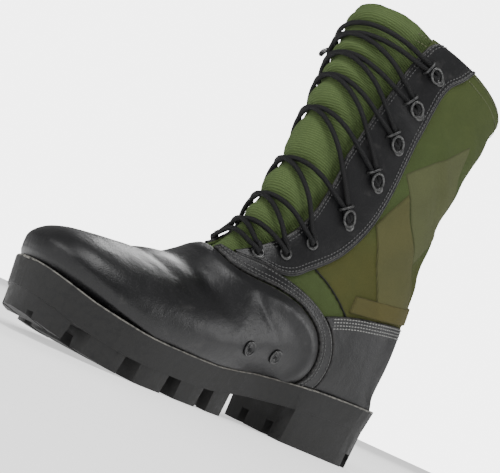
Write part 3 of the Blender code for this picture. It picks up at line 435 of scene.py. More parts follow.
    def fill_table(self) -> Array:
        """Sample the last.

        Returns:
            Rows of u and columns of the share of a half ring, each with point, normal, arc and run.
        """
        rings = np.arange(0.0, len(self.rings) - 1 + 0.5 * self.step, self.step)
        shares = np.linspace(0.0, 1.0, self.half_columns + 1)
        points = np.zeros((len(rings), 2 * self.half_columns + 1, 3))
        arcs = np.zeros(points.shape[:2])
        middle = self.half_columns
        for i, u in enumerate(rings):
            for side in Side:
                ring, lengths = self.half_ring(float(u), side)
                at = shares * lengths[-1]
                row = np.column_stack([np.interp(at, lengths, ring[:, k]) for k in range(3)])
                columns = middle + side.value * np.arange(middle + 1)
                points[i, columns] = row
                arcs[i, columns] = side.value * at
        free = 1 - soft_step(0.90, 1.0, np.abs(np.linspace(-1.0, 1.0, points.shape[1])))
        near = soft_step(12.6, 13.6, rings) * (1 - soft_step(16.4, 17.4, rings))
        weight = 0.5 * (near[:, None] * free[None])[1:-1, :, None]
        for _ in range(self.smoothings):
            points[1:-1] += weight * (0.5 * (points[:-2] + points[2:]) - points[1:-1])
        normals = self.blended_normals(points, rings)
        steps = np.linalg.norm(np.diff(points, axis=0), axis=2)
        runs = np.vstack([np.zeros((1, steps.shape[1])), np.cumsum(steps, axis=0)])
        return np.dstack([points, normals, arcs, runs])

    def blended_normals(self, points: Array, rings: Array) -> Array:
        """Work out normals that turn level where the upper meets the sole.

        Args:
            points: The table's points.
            rings: The rings of its rows.

        Returns:
            A unit normal for each point.
        """
        by_u = np.gradient(points, axis=0)
        by_s = np.gradient(points, axis=1)
        by_s[:, 0], by_s[:, -1] = by_s[:, 1], by_s[:, -2]
        by_u[0] = by_u[1]
        normal = np.cross(by_u, by_s)
        normal /= np.maximum(np.linalg.norm(normal, axis=2, keepdims=True), 1e-12)
        # Both ends of a shaft ring are the same place at the back, so they share one normal
        normal[:, 0] = normal[:, 1]
        normal[:, -1] = normal[:, 0]
        level = np.zeros_like(normal)
        side = np.where(np.arange(points.shape[1]) < self.half_columns, -1.0, 1.0)
        inner = side[None, :, None] < 0
        ends = np.where(inner, by_u[:, :1], by_u[:, -1:])
        level[..., 0] = -side * ends[..., 1]
        level[..., 1] = side * ends[..., 0]
        around = np.gradient(points[0], axis=0)
        toe = np.column_stack([-around[:, 1], around[:, 0], np.zeros(len(around))])
        front = rings < 1.0
        level[front] = toe[None]
        level /= np.maximum(np.linalg.norm(level, axis=2, keepdims=True), 1e-12)
        away = np.linalg.norm(points - np.where(inner, points[:, :1], points[:, -1:]), axis=2)
        ahead = np.linalg.norm(points - points[:1], axis=2)
        share = np.minimum(1.0, np.minimum(away, ahead) / self.foot_blend)
        turned = soft_step(13.2, self.closed_ring, rings)[:, None]
        share = share + (1 - share) * turned
        mixed = level * (1 - share[..., None]) + normal * share[..., None]
        return mixed / np.maximum(np.linalg.norm(mixed, axis=2, keepdims=True), 1e-12)

    def sample(self, u: Array, s: Array) -> Array:
        """Read the table between its rows and columns.

        Args:
            u: Rings.
            s: Shares of the half rings, minus to the inner side.

        Returns:
            Rows of point, normal, arc and run.
        """
        row = np.clip(np.asarray(u, float) / self.step, 0.0, self.table.shape[0] - 1.001)
        column = np.clip((np.asarray(s, float) + 1) * self.half_columns, 0.0, 2 * self.half_columns - 0.001)
        i, j = row.astype(int), column.astype(int)
        a, b = (row - i)[..., None], (column - j)[..., None]
        low = self.table[i, j] * (1 - b) + self.table[i, j + 1] * b
        high = self.table[i + 1, j] * (1 - b) + self.table[i + 1, j + 1] * b
        return low * (1 - a) + high * a

    def point(self, u: Array, s: Array, offset: Union[float, Array] = 0.0) -> Array:
        """Points at an offset outside the last."""
        return over(self.sample(u, s), offset)

    def length(self, u: Array, side: Side) -> Array:
        """Measure half rings.

        Args:
            u: The rings' numbers.
            side: The side of the boot.

        Returns:
            The length of each.
        """
        column = 2 * self.half_columns if side is Side.LATERAL else 0
        row = np.clip(np.asarray(u, float) / self.step, 0.0, self.table.shape[0] - 1.001)
        i = row.astype(int)
        values = np.abs(self.table[:, column, 6])
        return values[i] + (values[i + 1] - values[i]) * (row - i)

    def side_length(self, u: Array, arc: Array) -> Array:
        """Lengths of the half rings on the sides of arcs, which are below zero to the inner side."""
        return np.where(arc < 0, self.length(u, Side.MEDIAL), self.length(u, Side.LATERAL))

    def share(self, spot: Spot) -> float:
        """The share of its half ring at which a spot lies."""
        side = Side.MEDIAL if spot.arc < 0 else Side.LATERAL
        return spot.arc / float(self.length(spot.u, side))

    def locate(self, flat: Array, side: Side, tolerance: float = 0.0015) -> Array:
        """Find the places on the last of side view points.

        Args:
            flat: Rows of Y and Z.
            side: The side of the boot.
            tolerance: How far a point may miss the last.

        Returns:
            Rows of u and share, without the points that miss the last.
        """
        us = np.arange(self.first_searched, self.last_searched, 0.25)
        shares = side.value * np.linspace(0.02, 0.98, 60)
        grid_u, grid_s = [g.ravel() for g in np.meshgrid(us, shares, indexing="ij")]
        known = self.point(grid_u, grid_s)[:, 1:]
        flat = np.asarray(flat, float)
        nearest = np.argmin(((flat[:, None] - known[None]) ** 2).sum(2), axis=1)
        u, s = grid_u[nearest], grid_s[nearest]
        for _ in range(8):
            here = self.point(u, s)[:, 1:] - flat
            by_u = (self.point(u + 0.04, s)[:, 1:] - flat - here) / 0.04
            by_s = (self.point(u, s + 0.004)[:, 1:] - flat - here) / 0.004
            scale = by_u[:, 0] * by_s[:, 1] - by_u[:, 1] * by_s[:, 0]
            scale = np.where(np.abs(scale) < 1e-9, 1e-9, scale)
            step_u = (here[:, 0] * by_s[:, 1] - here[:, 1] * by_s[:, 0]) / scale
            step_s = (by_u[:, 0] * here[:, 1] - by_u[:, 1] * here[:, 0]) / scale
            u = np.clip(u - np.clip(step_u, -1.0, 1.0), 0.05, 23.9)
            s = side.value * np.clip(side.value * (s - np.clip(step_s, -0.1, 0.1)), 0.0, 1.0)
        miss = np.linalg.norm(self.point(u, s)[:, 1:] - flat, axis=1)
        return np.column_stack([u, s])[miss < tolerance]

    def nearest(self, points: Array) -> Array:
        """Find the places on the last nearest to points in space.

        Args:
            points: Rows of coordinates.

        Returns:
            Rows of u and share.
        """
        us = np.arange(self.first_searched, self.last_searched, 0.3)
        grid_u, grid_s = [g.ravel() for g in np.meshgrid(us, np.linspace(-1.0, 1.0, 81), indexing="ij")]
        known = self.point(grid_u, grid_s)
        first = np.array([int(np.argmin(((known - point) ** 2).sum(1))) for point in points])
        u, s = grid_u[first], grid_s[first]
        for _ in range(8):
            here = self.point(u, s)
            by_u = (self.point(u + 0.04, s) - here) / 0.04
            inwards = np.where(s > 0, -0.004, 0.004)
            by_s = (self.point(u, s + inwards) - here) / inwards[:, None]
            gap = points - here
            u_u, u_s, s_s = (by_u * by_u).sum(1), (by_u * by_s).sum(1), (by_s * by_s).sum(1)
            g_u, g_s = (by_u * gap).sum(1), (by_s * gap).sum(1)
            scale = np.maximum(u_u * s_s - u_s * u_s, 1e-16)
            u = np.clip(u + np.clip((g_u * s_s - g_s * u_s) / scale, -0.5, 0.5), 0.05, 23.9)
            s = np.clip(s + np.clip((g_s * u_u - g_u * u_s) / scale, -0.05, 0.05), -1.0, 1.0)
        return np.column_stack([u, s])

    def beside_line(self, line: Array, away: float, towards: Row) -> Array:
        """Move a line over the last.

        Args:
            line: Rows of u and share.
            away: How far it is moved.
            towards: The rough direction.

        Returns:
            The table's rows along the moved line.
        """
        found = self.sample(line[:, 0], line[:, 1])
        runs = np.gradient(found[:, :3], axis=0)
        across = np.cross(found[:, 3:6], runs)
        across /= np.linalg.norm(across, axis=1, keepdims=True)
        across *= np.sign((across * np.array(towards)).sum(1))[:, None]
        places = self.nearest(found[:, :3] + away * across)
        return self.sample(places[:, 0], places[:, 1])

    def spot(self, point: SidePoint, side: Side) -> Spot:
        """Find the place on the last of one side view point.

        Args:
            point: The point.
            side: The side of the boot.

        Returns:
            Its spot.
        """
        flat = np.array([[self.along(point.along), self.boot_height * point.height]])
        u, s = self.locate(flat, side)[0]
        return Spot(float(u), float(s * self.length(u, side)))

    def seam(self, points: Sequence[SidePoint], shift: float = 0.0) -> Array:
        """Make the side view line of a seam.

        Args:
            points: The points that it runs through.
            shift: How far the line is moved to the left of its run.

        Returns:
            Rows of Y and Z.
        """
        flat = np.array([[self.along(p.along), self.boot_height * p.height] for p in points])
        line = through(flat, 6)
        runs = np.gradient(line, axis=0)
        left = np.column_stack([-runs[:, 1], runs[:, 0]])
        return line + shift * left / np.linalg.norm(left, axis=1, keepdims=True)

    def beside(self, line: Array, flat: Array) -> Array:
        """Tell on which side of a side view line points lie.

        Args:
            line: Rows of Y and Z.
            flat: Points, with Y and Z last.

        Returns:
            Above zero to the left of the line's run, below zero to its right.
        """
        first = line[0] + self.beyond_ends * (line[0] - line[1]) / np.linalg.norm(line[0] - line[1])
        last = line[-1] + self.beyond_ends * (line[-1] - line[-2]) / np.linalg.norm(line[-1] - line[-2])
        line = np.vstack([first, line, last])
        best = np.full(flat.shape[:-1], np.inf)
        sign = np.zeros(flat.shape[:-1])
        for a, b in zip(line, line[1:]):
            run = b - a
            t = np.clip(((flat - a) @ run) / max(run @ run, 1e-18), 0.0, 1.0)
            gap = flat - (a + t[..., None] * run)
            d = np.linalg.norm(gap, axis=-1)
            turn = run[0] * (flat[..., 1] - a[1]) - run[1] * (flat[..., 0] - a[0])
            near = d < best - 1e-9
            best = np.where(near, d, best)
            sign = np.where(near, np.sign(turn) * d, sign)
        return sign

    def crossing(self, line: Array, shares: Array, low: Array) -> Array:
        """Find the first ring at which columns of the last cross a side view line.

        Args:
            line: Rows of Y and Z.
            shares: The columns.
            low: The lowest ring looked at, for each column.

        Returns:
            The rings, not a number where there is none.
        """
        us = np.arange(0.0, self.collar_ring + 0.01, self.step)
        grid = self.point(us[:, None] + 0 * shares[None], shares[None] + 0 * us[:, None])
        sign = self.beside(line, grid[..., 1:])
        found = np.full(len(shares), np.nan)
        for j in range(len(shares)):
            column = sign[:, j]
            turns = np.where((column[:-1] * column[1:] < 0) & (us[1:] > low[j]))[0]
            if len(turns):
                i = turns[0]
                found[j] = us[i] + self.step * column[i] / (column[i] - column[i + 1])
        return found


class Value:
    """One output of a node, with arithmetic that adds further nodes."""

    def __init__(self, shade: "Shade", socket: bpy.types.NodeSocket) -> None:
        """Keep the shade and the socket."""
        self.shade = shade
        self.socket = socket

    def maths(self, operation: str, *others: Union["Value", float]) -> "Value":
        """Join this value and others in a Math node."""
        inputs = {0: self, **{i + 1: other for i, other in enumerate(others)}}
        return self.shade.node("ShaderNodeMath", inputs, operation=operation)

    def __add__(self, other: Union["Value", float]) -> "Value":
        """Sum."""
        return self.maths("ADD", other)

    __radd__ = __add__

    def __sub__(self, other: Union["Value", float]) -> "Value":
        """Difference."""
        return self.maths("SUBTRACT", other)

    def __rsub__(self, other: float) -> "Value":
        """A number less this value."""
        return self.shade.node("ShaderNodeMath", {0: other, 1: self}, operation="SUBTRACT")

    def __mul__(self, other: Union["Value", float]) -> "Value":
        """Product."""
        return self.maths("MULTIPLY", other)

    __rmul__ = __mul__

    def sine(self) -> "Value":
        """Sine."""
        return self.maths("SINE")

    def ramp(self, low: float, high: float) -> "Value":
        """Rise smoothly from 0 at low to 1 at high."""
        inputs = {"Value": self, "From Min": low, "From Max": high}
        return self.shade.node("ShaderNodeMapRange", inputs, interpolation_type="SMOOTHSTEP")


Input = Union[Value, float, Row]


class Shade:
    """The node tree of one material."""

    def __init__(self, name: str) -> None:
        """Start a material with a plain shader.

        Args:
            name: The material's name.
        """
        self.material = bpy.data.materials.new(name)
        self.material.use_nodes = True
        self.tree = self.material.node_tree
        self.shader = self.tree.nodes["Principled BSDF"]

    def feed(self, socket: bpy.types.NodeSocket, value: Input) -> None:
        """Link a value to a socket or set it there.

        Args:
            socket: The socket.
            value: Another node's output, a number or a colour.
        """
        if isinstance(value, Value):
            self.tree.links.new(value.socket, socket)
        elif isinstance(value, tuple) and len(value) == 3 and socket.type == "RGBA":
            socket.default_value = (*value, 1.0)
        else:
            socket.default_value = value

    def node(self, kind: str, inputs: Optional[dict] = None, out: Union[int, str] = 0,
             **settings: str) -> Value:
        """Make any node.

        Args:
            kind: The node's type.
            inputs: Values of its sockets, by name or number.
            out: The output wanted.
            **settings: The node's own settings.

        Returns:
            The output.
        """
        made = self.tree.nodes.new(kind)
        for name, setting in settings.items():
            setattr(made, name, setting)
        for name, value in (inputs or {}).items():
            self.feed(made.inputs[name], value)
        return Value(self, made.outputs[out])

    def place(self) -> Value:
        """Object coordinates, in metres."""
        return self.node("ShaderNodeTexCoord", out="Object")

    def noise(self, scale: float, detail: float = 3.0, at: Optional[Value] = None) -> Value:
        """Soft noise with so many waves to the metre."""
        inputs = {"Vector": at or self.place(), "Scale": scale, "Detail": detail}
        return self.node("ShaderNodeTexNoise", inputs)

    def cells(self, scale: float, at: Optional[Value] = None) -> Value:
        """Distance from the middles of cells, so many to the metre."""
        inputs = {"Vector": at or self.place(), "Scale": scale}
        return self.node("ShaderNodeTexVoronoi", inputs, feature="F1")

    def carried(self, name: str) -> Value:
        """A value that the piece carries at its corners."""
        return self.node("ShaderNodeAttribute", out="Fac", attribute_name=name)

    def cloth(self) -> tuple[Value, Value]:
        """Read the coordinates along the cloth.

        Returns:
            The distances across and along, in metres.
        """
        where = self.node("ShaderNodeUVMap", uv_map="cloth")
        across = self.node("ShaderNodeSeparateXYZ", {0: where}, out="X")
        along = self.node("ShaderNodeSeparateXYZ", {0: where}, out="Y")
        return across, along

    def mix(self, share: Input, first: Input, second: Input) -> Value:
        """Mix two colours."""
        return self.node("ShaderNodeMix", {0: share, 6: first, 7: second}, out=2, data_type="RGBA")

    def bump(self, height: Value, depth: float, under: Optional[Value] = None) -> Value:
        """Turn a height into a normal.

        Args:
            height: The height, from 0 to 1.
            depth: What 1 stands for, in metres.
            under: A broader bump below this one.

        Returns:
            The normal.
        """
        inputs = {"Height": height, "Distance": depth, "Strength": 1.0}
        if under is not None:
            inputs["Normal"] = under
        return self.node("ShaderNodeBump", inputs, out="Normal")

    def close(self, **sockets: Input) -> Finish:
        """Feed the shader and give the material.

        Args:
            **sockets: Values by socket name, with _ for a space.

        Returns:
            The material.
        """
        for name, value in sockets.items():
            self.feed(self.shader.inputs[name.replace("_", " ")], value)
        return self.material


@dataclass(frozen=True)
class Leather:
    """Waxed black leather with grain, dull scuffs and a broad soft sheen."""

    name: str = "leather"
    deep: Colour = (0.0042, 0.0042, 0.0047)
    worn: Colour = (0.046, 0.044, 0.042)
    gloss: float = 0.33
    grain: float = 0.00009

    def make(self) -> Finish:
        """Make the material.

        Returns:
            The material.
        """
        shade = Shade(self.name)
        broad = shade.noise(18.0, 2.0)
        scuff = shade.noise(140.0, 5.0).ramp(0.56, 0.72) * shade.noise(30.0, 2.0).ramp(0.45, 0.62)
        rubbed = shade.carried("wear") * shade.noise(420.0, 3.0).ramp(0.38, 0.60)
        wear = (rubbed + 0.35 * scuff).maths("MINIMUM", 1.0)
        base = shade.mix(broad.ramp(0.30, 0.70), self.deep, tuple(1.55 * part for part in self.deep))
        pores = shade.cells(950.0).ramp(0.0, 0.55)
        fine = shade.noise(2600.0, 2.0)
        height = 0.7 * pores + 0.3 * fine
        under = shade.bump(shade.noise(55.0, 3.0), 0.0011)
        return shade.close(
            Base_Color=shade.mix(wear * 0.75, base, self.worn),
            Roughness=self.gloss + 0.12 * broad + 0.16 * wear,
            Normal=shade.bump(height, self.grain, under),
            Specular_IOR_Level=0.34,
            Coat_Weight=0.08,
            Coat_Roughness=0.35,
        )


@dataclass(frozen=True)
class Cloth:
    """Plain or twill cloth with threads, uneven dye and grime, darkened as painted shade in the weave's
    hollows and where a piece carries painted shade in its tone and wear.
    """

    name: str
    colour: Colour
    other: Colour
    pitch: float = 0.00075
    twill: bool = False
    lean: float = 1.0
    depth: float = 0.00016
    dirt: Colour = (0.014, 0.015, 0.008)

    def make(self) -> Finish:
        """Make the material.

        Returns:
            The material.
        """
        shade = Shade(self.name)
        across, along = shade.cloth()
        turn = 2 * math.pi / self.pitch
        wobble = 1.2 * shade.noise(160.0, 2.0)
        if self.twill:
            threads = 0.5 + 0.5 * ((self.lean * across + along) * turn + wobble).sine()
            cross = 0.5 + 0.5 * ((across - along) * (2.1 * turn)).sine()
            weave = 0.7 * threads + 0.3 * cross
        else:
            weave = 0.5 + 0.5 * (across * turn + wobble).sine() * (along * turn + wobble).sine()
        patch = shade.noise(45.0, 4.0)
        slub = shade.noise(900.0, 3.0)
        tone = shade.carried("tone")
        # Carried tone shifts the colour: real panel tones on the canvas and patches, painted shade on the
        # tongue.
        dye_and_shade = shade.mix(tone, self.colour, self.other)
        dark = shade.mix(0.30, tuple(0.42 * part for part in self.colour), dye_and_shade)
        # Darker in the weave's hollows: painted shade.
        woven_shaded = shade.mix(0.75 * (1.0 - weave), dye_and_shade, tuple(0.28 * part for part in self.colour))
        mottled = shade.mix(0.45 * patch.ramp(0.35, 0.68) + 0.25 * slub.ramp(0.40, 0.62), woven_shaded, dark)
        # Carried wear darkens towards the dirt colour: real grime at cut edges, painted shade beside the
        # tongue's lace and in the canvas's seam groove.
        grime_and_shade = shade.carried("wear") * 0.65
        return shade.close(
            Base_Color=shade.mix(grime_and_shade, mottled, self.dirt),
            Roughness=0.80 + 0.15 * slub,
            Normal=shade.bump(weave + 0.4 * slub, self.depth, shade.bump(patch, 0.0012)),
            Specular_IOR_Level=0.20,
        )


@dataclass(frozen=True)
class Rubber:
    """Moulded black rubber, dusty in places, with edges lighter partly from wear and partly as a painted
    highlight.
    """

    name: str = "rubber"
    deep: Colour = (0.0046, 0.0046, 0.0049)
    dust_and_highlight_colour: Colour = (0.015, 0.0148, 0.0142)
    gloss: float = 0.48

    def make(self) -> Finish:
        """Make the material.

        Returns:
            The material.
        """
        shade = Shade(self.name)
        blotch = shade.noise(22.0, 4.0)
        speck = shade.noise(1500.0, 3.0)
        # Carried wear lightens the colour: on the sole's sharp edges partly worn rubber and partly painted
        # highlight, on the edge bead a painted highlight.
        wear = shade.carried("wear") * shade.noise(300.0, 3.0).ramp(0.30, 0.60)
        dust_and_highlight = (0.5 * blotch.ramp(0.45, 0.80) + 0.3 * speck.ramp(0.5, 0.8) + wear).maths("MINIMUM", 1.0)
        return shade.close(
            Base_Color=shade.mix(dust_and_highlight, self.deep, self.dust_and_highlight_colour),
            Roughness=self.gloss + 0.20 * dust_and_highlight,
            Normal=shade.bump(speck, 0.00010, shade.bump(shade.noise(120.0, 3.0), 0.0004)),
            Specular_IOR_Level=0.32,
        )


@dataclass(frozen=True)
class PaintedMetal:
    """Black painted metal, worn bright on its rims."""

    name: str = "metal"
    paint: Colour = (0.012, 0.012, 0.013)
    bare: Colour = (0.18, 0.18, 0.175)

    def make(self) -> Finish:
        """Make the material.

        Returns:
            The material.
        """
        shade = Shade(self.name)
        chips = shade.noise(520.0, 4.0)
        worn = (shade.carried("wear") * chips.ramp(0.32, 0.56)).maths("MINIMUM", 1.0)
        return shade.close(
            Base_Color=shade.mix(worn, self.paint, self.bare),
            Metallic=0.25 + 0.70 * worn,
            Roughness=0.36 - 0.10 * worn,
            Normal=shade.bump(chips, 0.00008),
        )


@dataclass(frozen=True)
class Braid:
    """Braided black cord, with a slight wax, lighter on its crests and darker in its hollows as painted
    shade.
    """

    name: str = "cord"
    deep: Colour = (0.0025, 0.0025, 0.0028)
    high: Colour = (0.012, 0.012, 0.013)
    pitch: float = 0.0016

    def make(self) -> Finish:
        """Make the material.

        Returns:
            The material.
        """
        shade = Shade(self.name)
        across, along = shade.cloth()
        turn = 2 * math.pi / self.pitch
        one = 0.5 + 0.5 * ((across + along) * turn).sine()
        two = 0.5 + 0.5 * ((across - along) * turn).sine()
        weave = one.maths("MAXIMUM", two)
        fuzz = shade.noise(1800.0, 3.0)
        return shade.close(
            # Lighter on the braid's crests, darker in its hollows: painted shade.
            Base_Color=shade.mix(0.65 * weave * fuzz.ramp(0.2, 0.8), self.deep, self.high),
            Roughness=0.50 + 0.25 * fuzz,
            Normal=shade.bump(weave + 0.3 * fuzz, 0.00030),
            Specular_IOR_Level=0.25,
        )


@dataclass(frozen=True)
class Thread:
    """Waxed sewing thread."""

    name: str
    colour: Colour

    def make(self) -> Finish:
        """Make the material.

        Returns:
            The material.
        """
        shade = Shade(self.name)
        fuzz = shade.noise(1600.0, 3.0)
        dirty = tuple(0.35 * part for part in self.colour)
        return shade.close(
            Base_Color=shade.mix(fuzz.ramp(0.35, 0.60), dirty, self.colour),
            Roughness=0.55 + 0.2 * fuzz,
            Normal=shade.bump(fuzz, 0.0001),
        )


@dataclass
class Finishes:
    """All the boot's materials."""

    def __post_init__(self) -> None:
        """Make the materials."""
        self.leather = Leather().make()
        self.canvas = Cloth("canvas", (0.070, 0.099, 0.031), (0.092, 0.084, 0.021)).make()
        # The tongue's second colour is painted shade, laid beside the lace and under the eyestays by its
        # carried tone.
        self.tongue = Cloth("tongue_cloth", (0.100, 0.147, 0.050), (0.060, 0.090, 0.026),
                            pitch=0.0017, twill=True, lean=0.22, depth=0.0004).make()
        self.webbing = Cloth("webbing", (0.105, 0.118, 0.052), (0.105, 0.080, 0.020),
                             pitch=0.0017, twill=True, lean=-0.6, depth=0.0002).make()
        self.lining = Cloth("lining", (0.12, 0.11, 0.07), (0.10, 0.09, 0.06), pitch=0.0010).make()
        self.rubber = Rubber().make()
        # The edge finish's light colour is a painted highlight line along the sole's top edge.
        self.edge = Rubber("rubber_edge_highlight", (0.05, 0.05, 0.048), (0.20, 0.19, 0.17), gloss=0.5).make()
        self.metal = PaintedMetal().make()
        self.cord = Braid().make()
        self.thread = Thread("black_thread", (0.075, 0.075, 0.075)).make()
        self.grey_thread = Thread("grey_thread", (0.085, 0.085, 0.083)).make()
        self.worn_thread = Thread("worn_thread", (0.26, 0.26, 0.25)).make()
        self.aglet = Rubber("aglet_plastic", (0.10, 0.10, 0.105), (0.22, 0.22, 0.22), gloss=0.35).make()


Surface = Callable[[Array, Array], Corners]


@dataclass
class Bench:
    """Turns grids and lines into pieces of the scene."""

    same_place: float = 2e-6
    halves_meet: float = 2e-5

    def grid(self, columns: int, rows: int, surface: Surface, closed: bool = False) -> Mesh:
        """Map a grid onto a surface.

        Args:
            columns: Faces across.
            rows: Faces along.
            surface: Gives the points, cloth coordinates and carried values of two shares from 0 to 1.
            closed: Whether the surface is a closed body, whose normals are worked out anew.

        Returns:
            The bmesh.
        """
        mesh = bmesh.new()
        bmesh.ops.create_grid(mesh, x_segments=columns, y_segments=rows, size=0.5)
        flat = np.array([vert.co[:2] for vert in mesh.verts]) + 0.5
        made = surface(flat[:, 0], flat[:, 1])
        zero = np.zeros(len(flat))
        wear = mesh.verts.layers.float.new("wear")
        tone = mesh.verts.layers.float.new("tone")
        points, worn, toned = made["points"], made.get("wear", zero), made.get("tone", zero)
        for i, vert in enumerate(mesh.verts):
            vert.co = points[i]
            vert[wear] = worn[i]
            vert[tone] = toned[i]
        cloth = made.get("cloth", flat)
        uv = mesh.loops.layers.uv.new("cloth")
        mesh.verts.index_update()
        for face in mesh.faces:
            for loop in face.loops:
                loop[uv].uv = cloth[loop.vert.index]
        outward = made.get("outward")
        if outward is not None:
            mesh.normal_update()
            agree = sum(face.normal.dot(outward[face.verts[0].index]) for face in mesh.faces)
            if agree < 0:
                bmesh.ops.reverse_faces(mesh, faces=mesh.faces)
        bmesh.ops.remove_doubles(mesh, verts=mesh.verts, dist=self.same_place)
        bmesh.ops.dissolve_degenerate(mesh, dist=1e-6, edges=mesh.edges)
        if closed:
            bmesh.ops.recalc_face_normals(mesh, faces=mesh.faces)
        return mesh

    def tube(self, line: Array, radius: Union[float, Array], sides: int = 12, flat: float = 1.0,
             wear: float = 0.0) -> Mesh:
        """Run a round section along a line, with closed ends.

        Args:
            line: Rows of points.
            radius: The section's radius, or one for each point.
            sides: Faces round the section.
            flat: Height of the section over its width.
            wear: The carried wear, which on the sole's edge bead stands for a painted highlight.

        Returns:
            The bmesh.
        """
        count = len(line)
        radii = np.broadcast_to(np.asarray(radius, float), (count,))
        runs = np.gradient(line, axis=0)
        runs /= np.linalg.norm(runs, axis=1, keepdims=True)
        outs = np.zeros_like(line)
        out = np.array([0.1, 0.9, 0.43])
        for i in range(count):
            out = out - runs[i] * (out @ runs[i])
            out /= np.linalg.norm(out)
            outs[i] = out
        beside = np.cross(runs, outs)
        lengths = np.concatenate([[0.0], np.cumsum(np.linalg.norm(np.diff(line, axis=0), axis=1))])

        def surface(a: Array, b: Array) -> Corners:
            """Give the points round the line, with a cap beyond each end.

            Args:
                a: Shares round the section.
                b: Shares along the line.

            Returns:
                Points, cloth coordinates and wear.
            """
            at = b * (count + 1) - 1
            near = np.clip(np.round(at).astype(int), 0, count - 1)
            size = np.where((at < -0.5) | (at > count - 0.5), 0.0, radii[near])
            turn = 2 * np.pi * a
            ring = np.cos(turn)[:, None] * outs[near] + flat * np.sin(turn)[:, None] * beside[near]
            points = line[near] + size[:, None] * ring
            cloth = np.column_stack([turn * radii[near] / (2 * np.pi) * 6.0, lengths[near]])
            return {"points": points, "cloth": cloth, "wear": np.full(len(a), wear)}

        return self.grid(sides, count + 1, surface, closed=True)

    def merged(self, meshes: Sequence[Mesh], sewn: bool = False) -> Mesh:
        """Join bmeshes into one and free the others.

        Args:
            meshes: The bmeshes.
            sewn: Whether edges that meet are joined.

        Returns:
            The whole bmesh.
        """
        whole = bmesh.new()
        whole.verts.layers.float.new("wear")
        whole.verts.layers.float.new("tone")
        whole.loops.layers.uv.new("cloth")
        for mesh in meshes:
            data = bpy.data.meshes.new("spare")
            mesh.to_mesh(data)
            mesh.free()
            whole.from_mesh(data)
            bpy.data.meshes.remove(data)
        if sewn:
            bmesh.ops.remove_doubles(whole, verts=whole.verts, dist=self.halves_meet)
        return whole

    def piece(self, name: str, mesh: Mesh, material: Finish, slot: str,
              nodes: Sequence[str] = (), wall: float = 0.0) -> bpy.types.Object:
        """Make a piece of the scene from a bmesh.

        Args:
            name: The piece's name.
            mesh: The bmesh, freed here.
            material: Its finish.
            slot: Not used.
            nodes: CAD nodes that it stands for.
            wall: Thickness added inwards.

        Returns:
            The object.
        """
        data = bpy.data.meshes.new(name)
        mesh.to_mesh(data)
        mesh.free()
        data.shade_smooth()
        data.materials.append(material)
        piece = bpy.data.objects.new(name, data)
        bpy.context.scene.collection.objects.link(piece)
        if wall:
            solid = piece.modifiers.new("wall", "SOLIDIFY")
            solid.thickness = wall
            solid.offset = -1.0
        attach(piece, "root")
        if nodes:
            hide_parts(*nodes)
        LOG.info("%s: %d faces", name, len(data.polygons))
        return piece

    def stitches(self, name: str, lines: Sequence[tuple[Array, Array]],
                 material: Finish, slot: str, pitch: float = 0.0027,
                 thick: float = 0.00042) -> bpy.types.Object:
        """Sew a row of stitches along lines.

        Args:
            name: The piece's name.
            lines: Pairs of points and outward normals.
            material: The thread.
            slot: Not used.
            pitch: Distance between stitches.
            thick: Radius of the thread.

        Returns:
            The object.
        """
        mesh = bmesh.new()
        for points, normals in lines:
            if len(points) < 3:
                continue
            gone = np.concatenate([[0.0], np.cumsum(np.linalg.norm(np.diff(points, axis=0), axis=1))])
            at = np.arange(0.0, gone[-1], pitch)
            both = np.hstack([points, normals])
            rows = np.column_stack([np.interp(at, gone, both[:, k]) for k in range(6)])
            for before, after in zip(rows, rows[1:]):
                run = Vector(after[:3] - before[:3])
                length = run.length
                if length < 0.3 * pitch or length > 3 * pitch:
                    continue
                run.normalize()
                up = Vector(before[3:6]).normalized()
                side = run.cross(up).normalized()
                up = side.cross(run)
                middle = Vector(0.5 * (before[:3] + after[:3]))
                axes = (0.40 * length * run, thick * side, 0.8 * thick * up)
                rows_of = [[axis[k] for axis in axes] + [middle[k]] for k in range(3)] + [[0, 0, 0, 1]]
                bmesh.ops.create_uvsphere(mesh, u_segments=6, v_segments=4, radius=1.0,
                                          matrix=Matrix(rows_of) @ Matrix.Rotation(math.pi / 2, 4, "Y"))
        return self.piece(name, mesh, material, slot)


@dataclass(frozen=True)
class Crease:
    """A soft trough or ridge along places on the last."""

    places: tuple[tuple[float, float], ...]
    height: float
    width: float


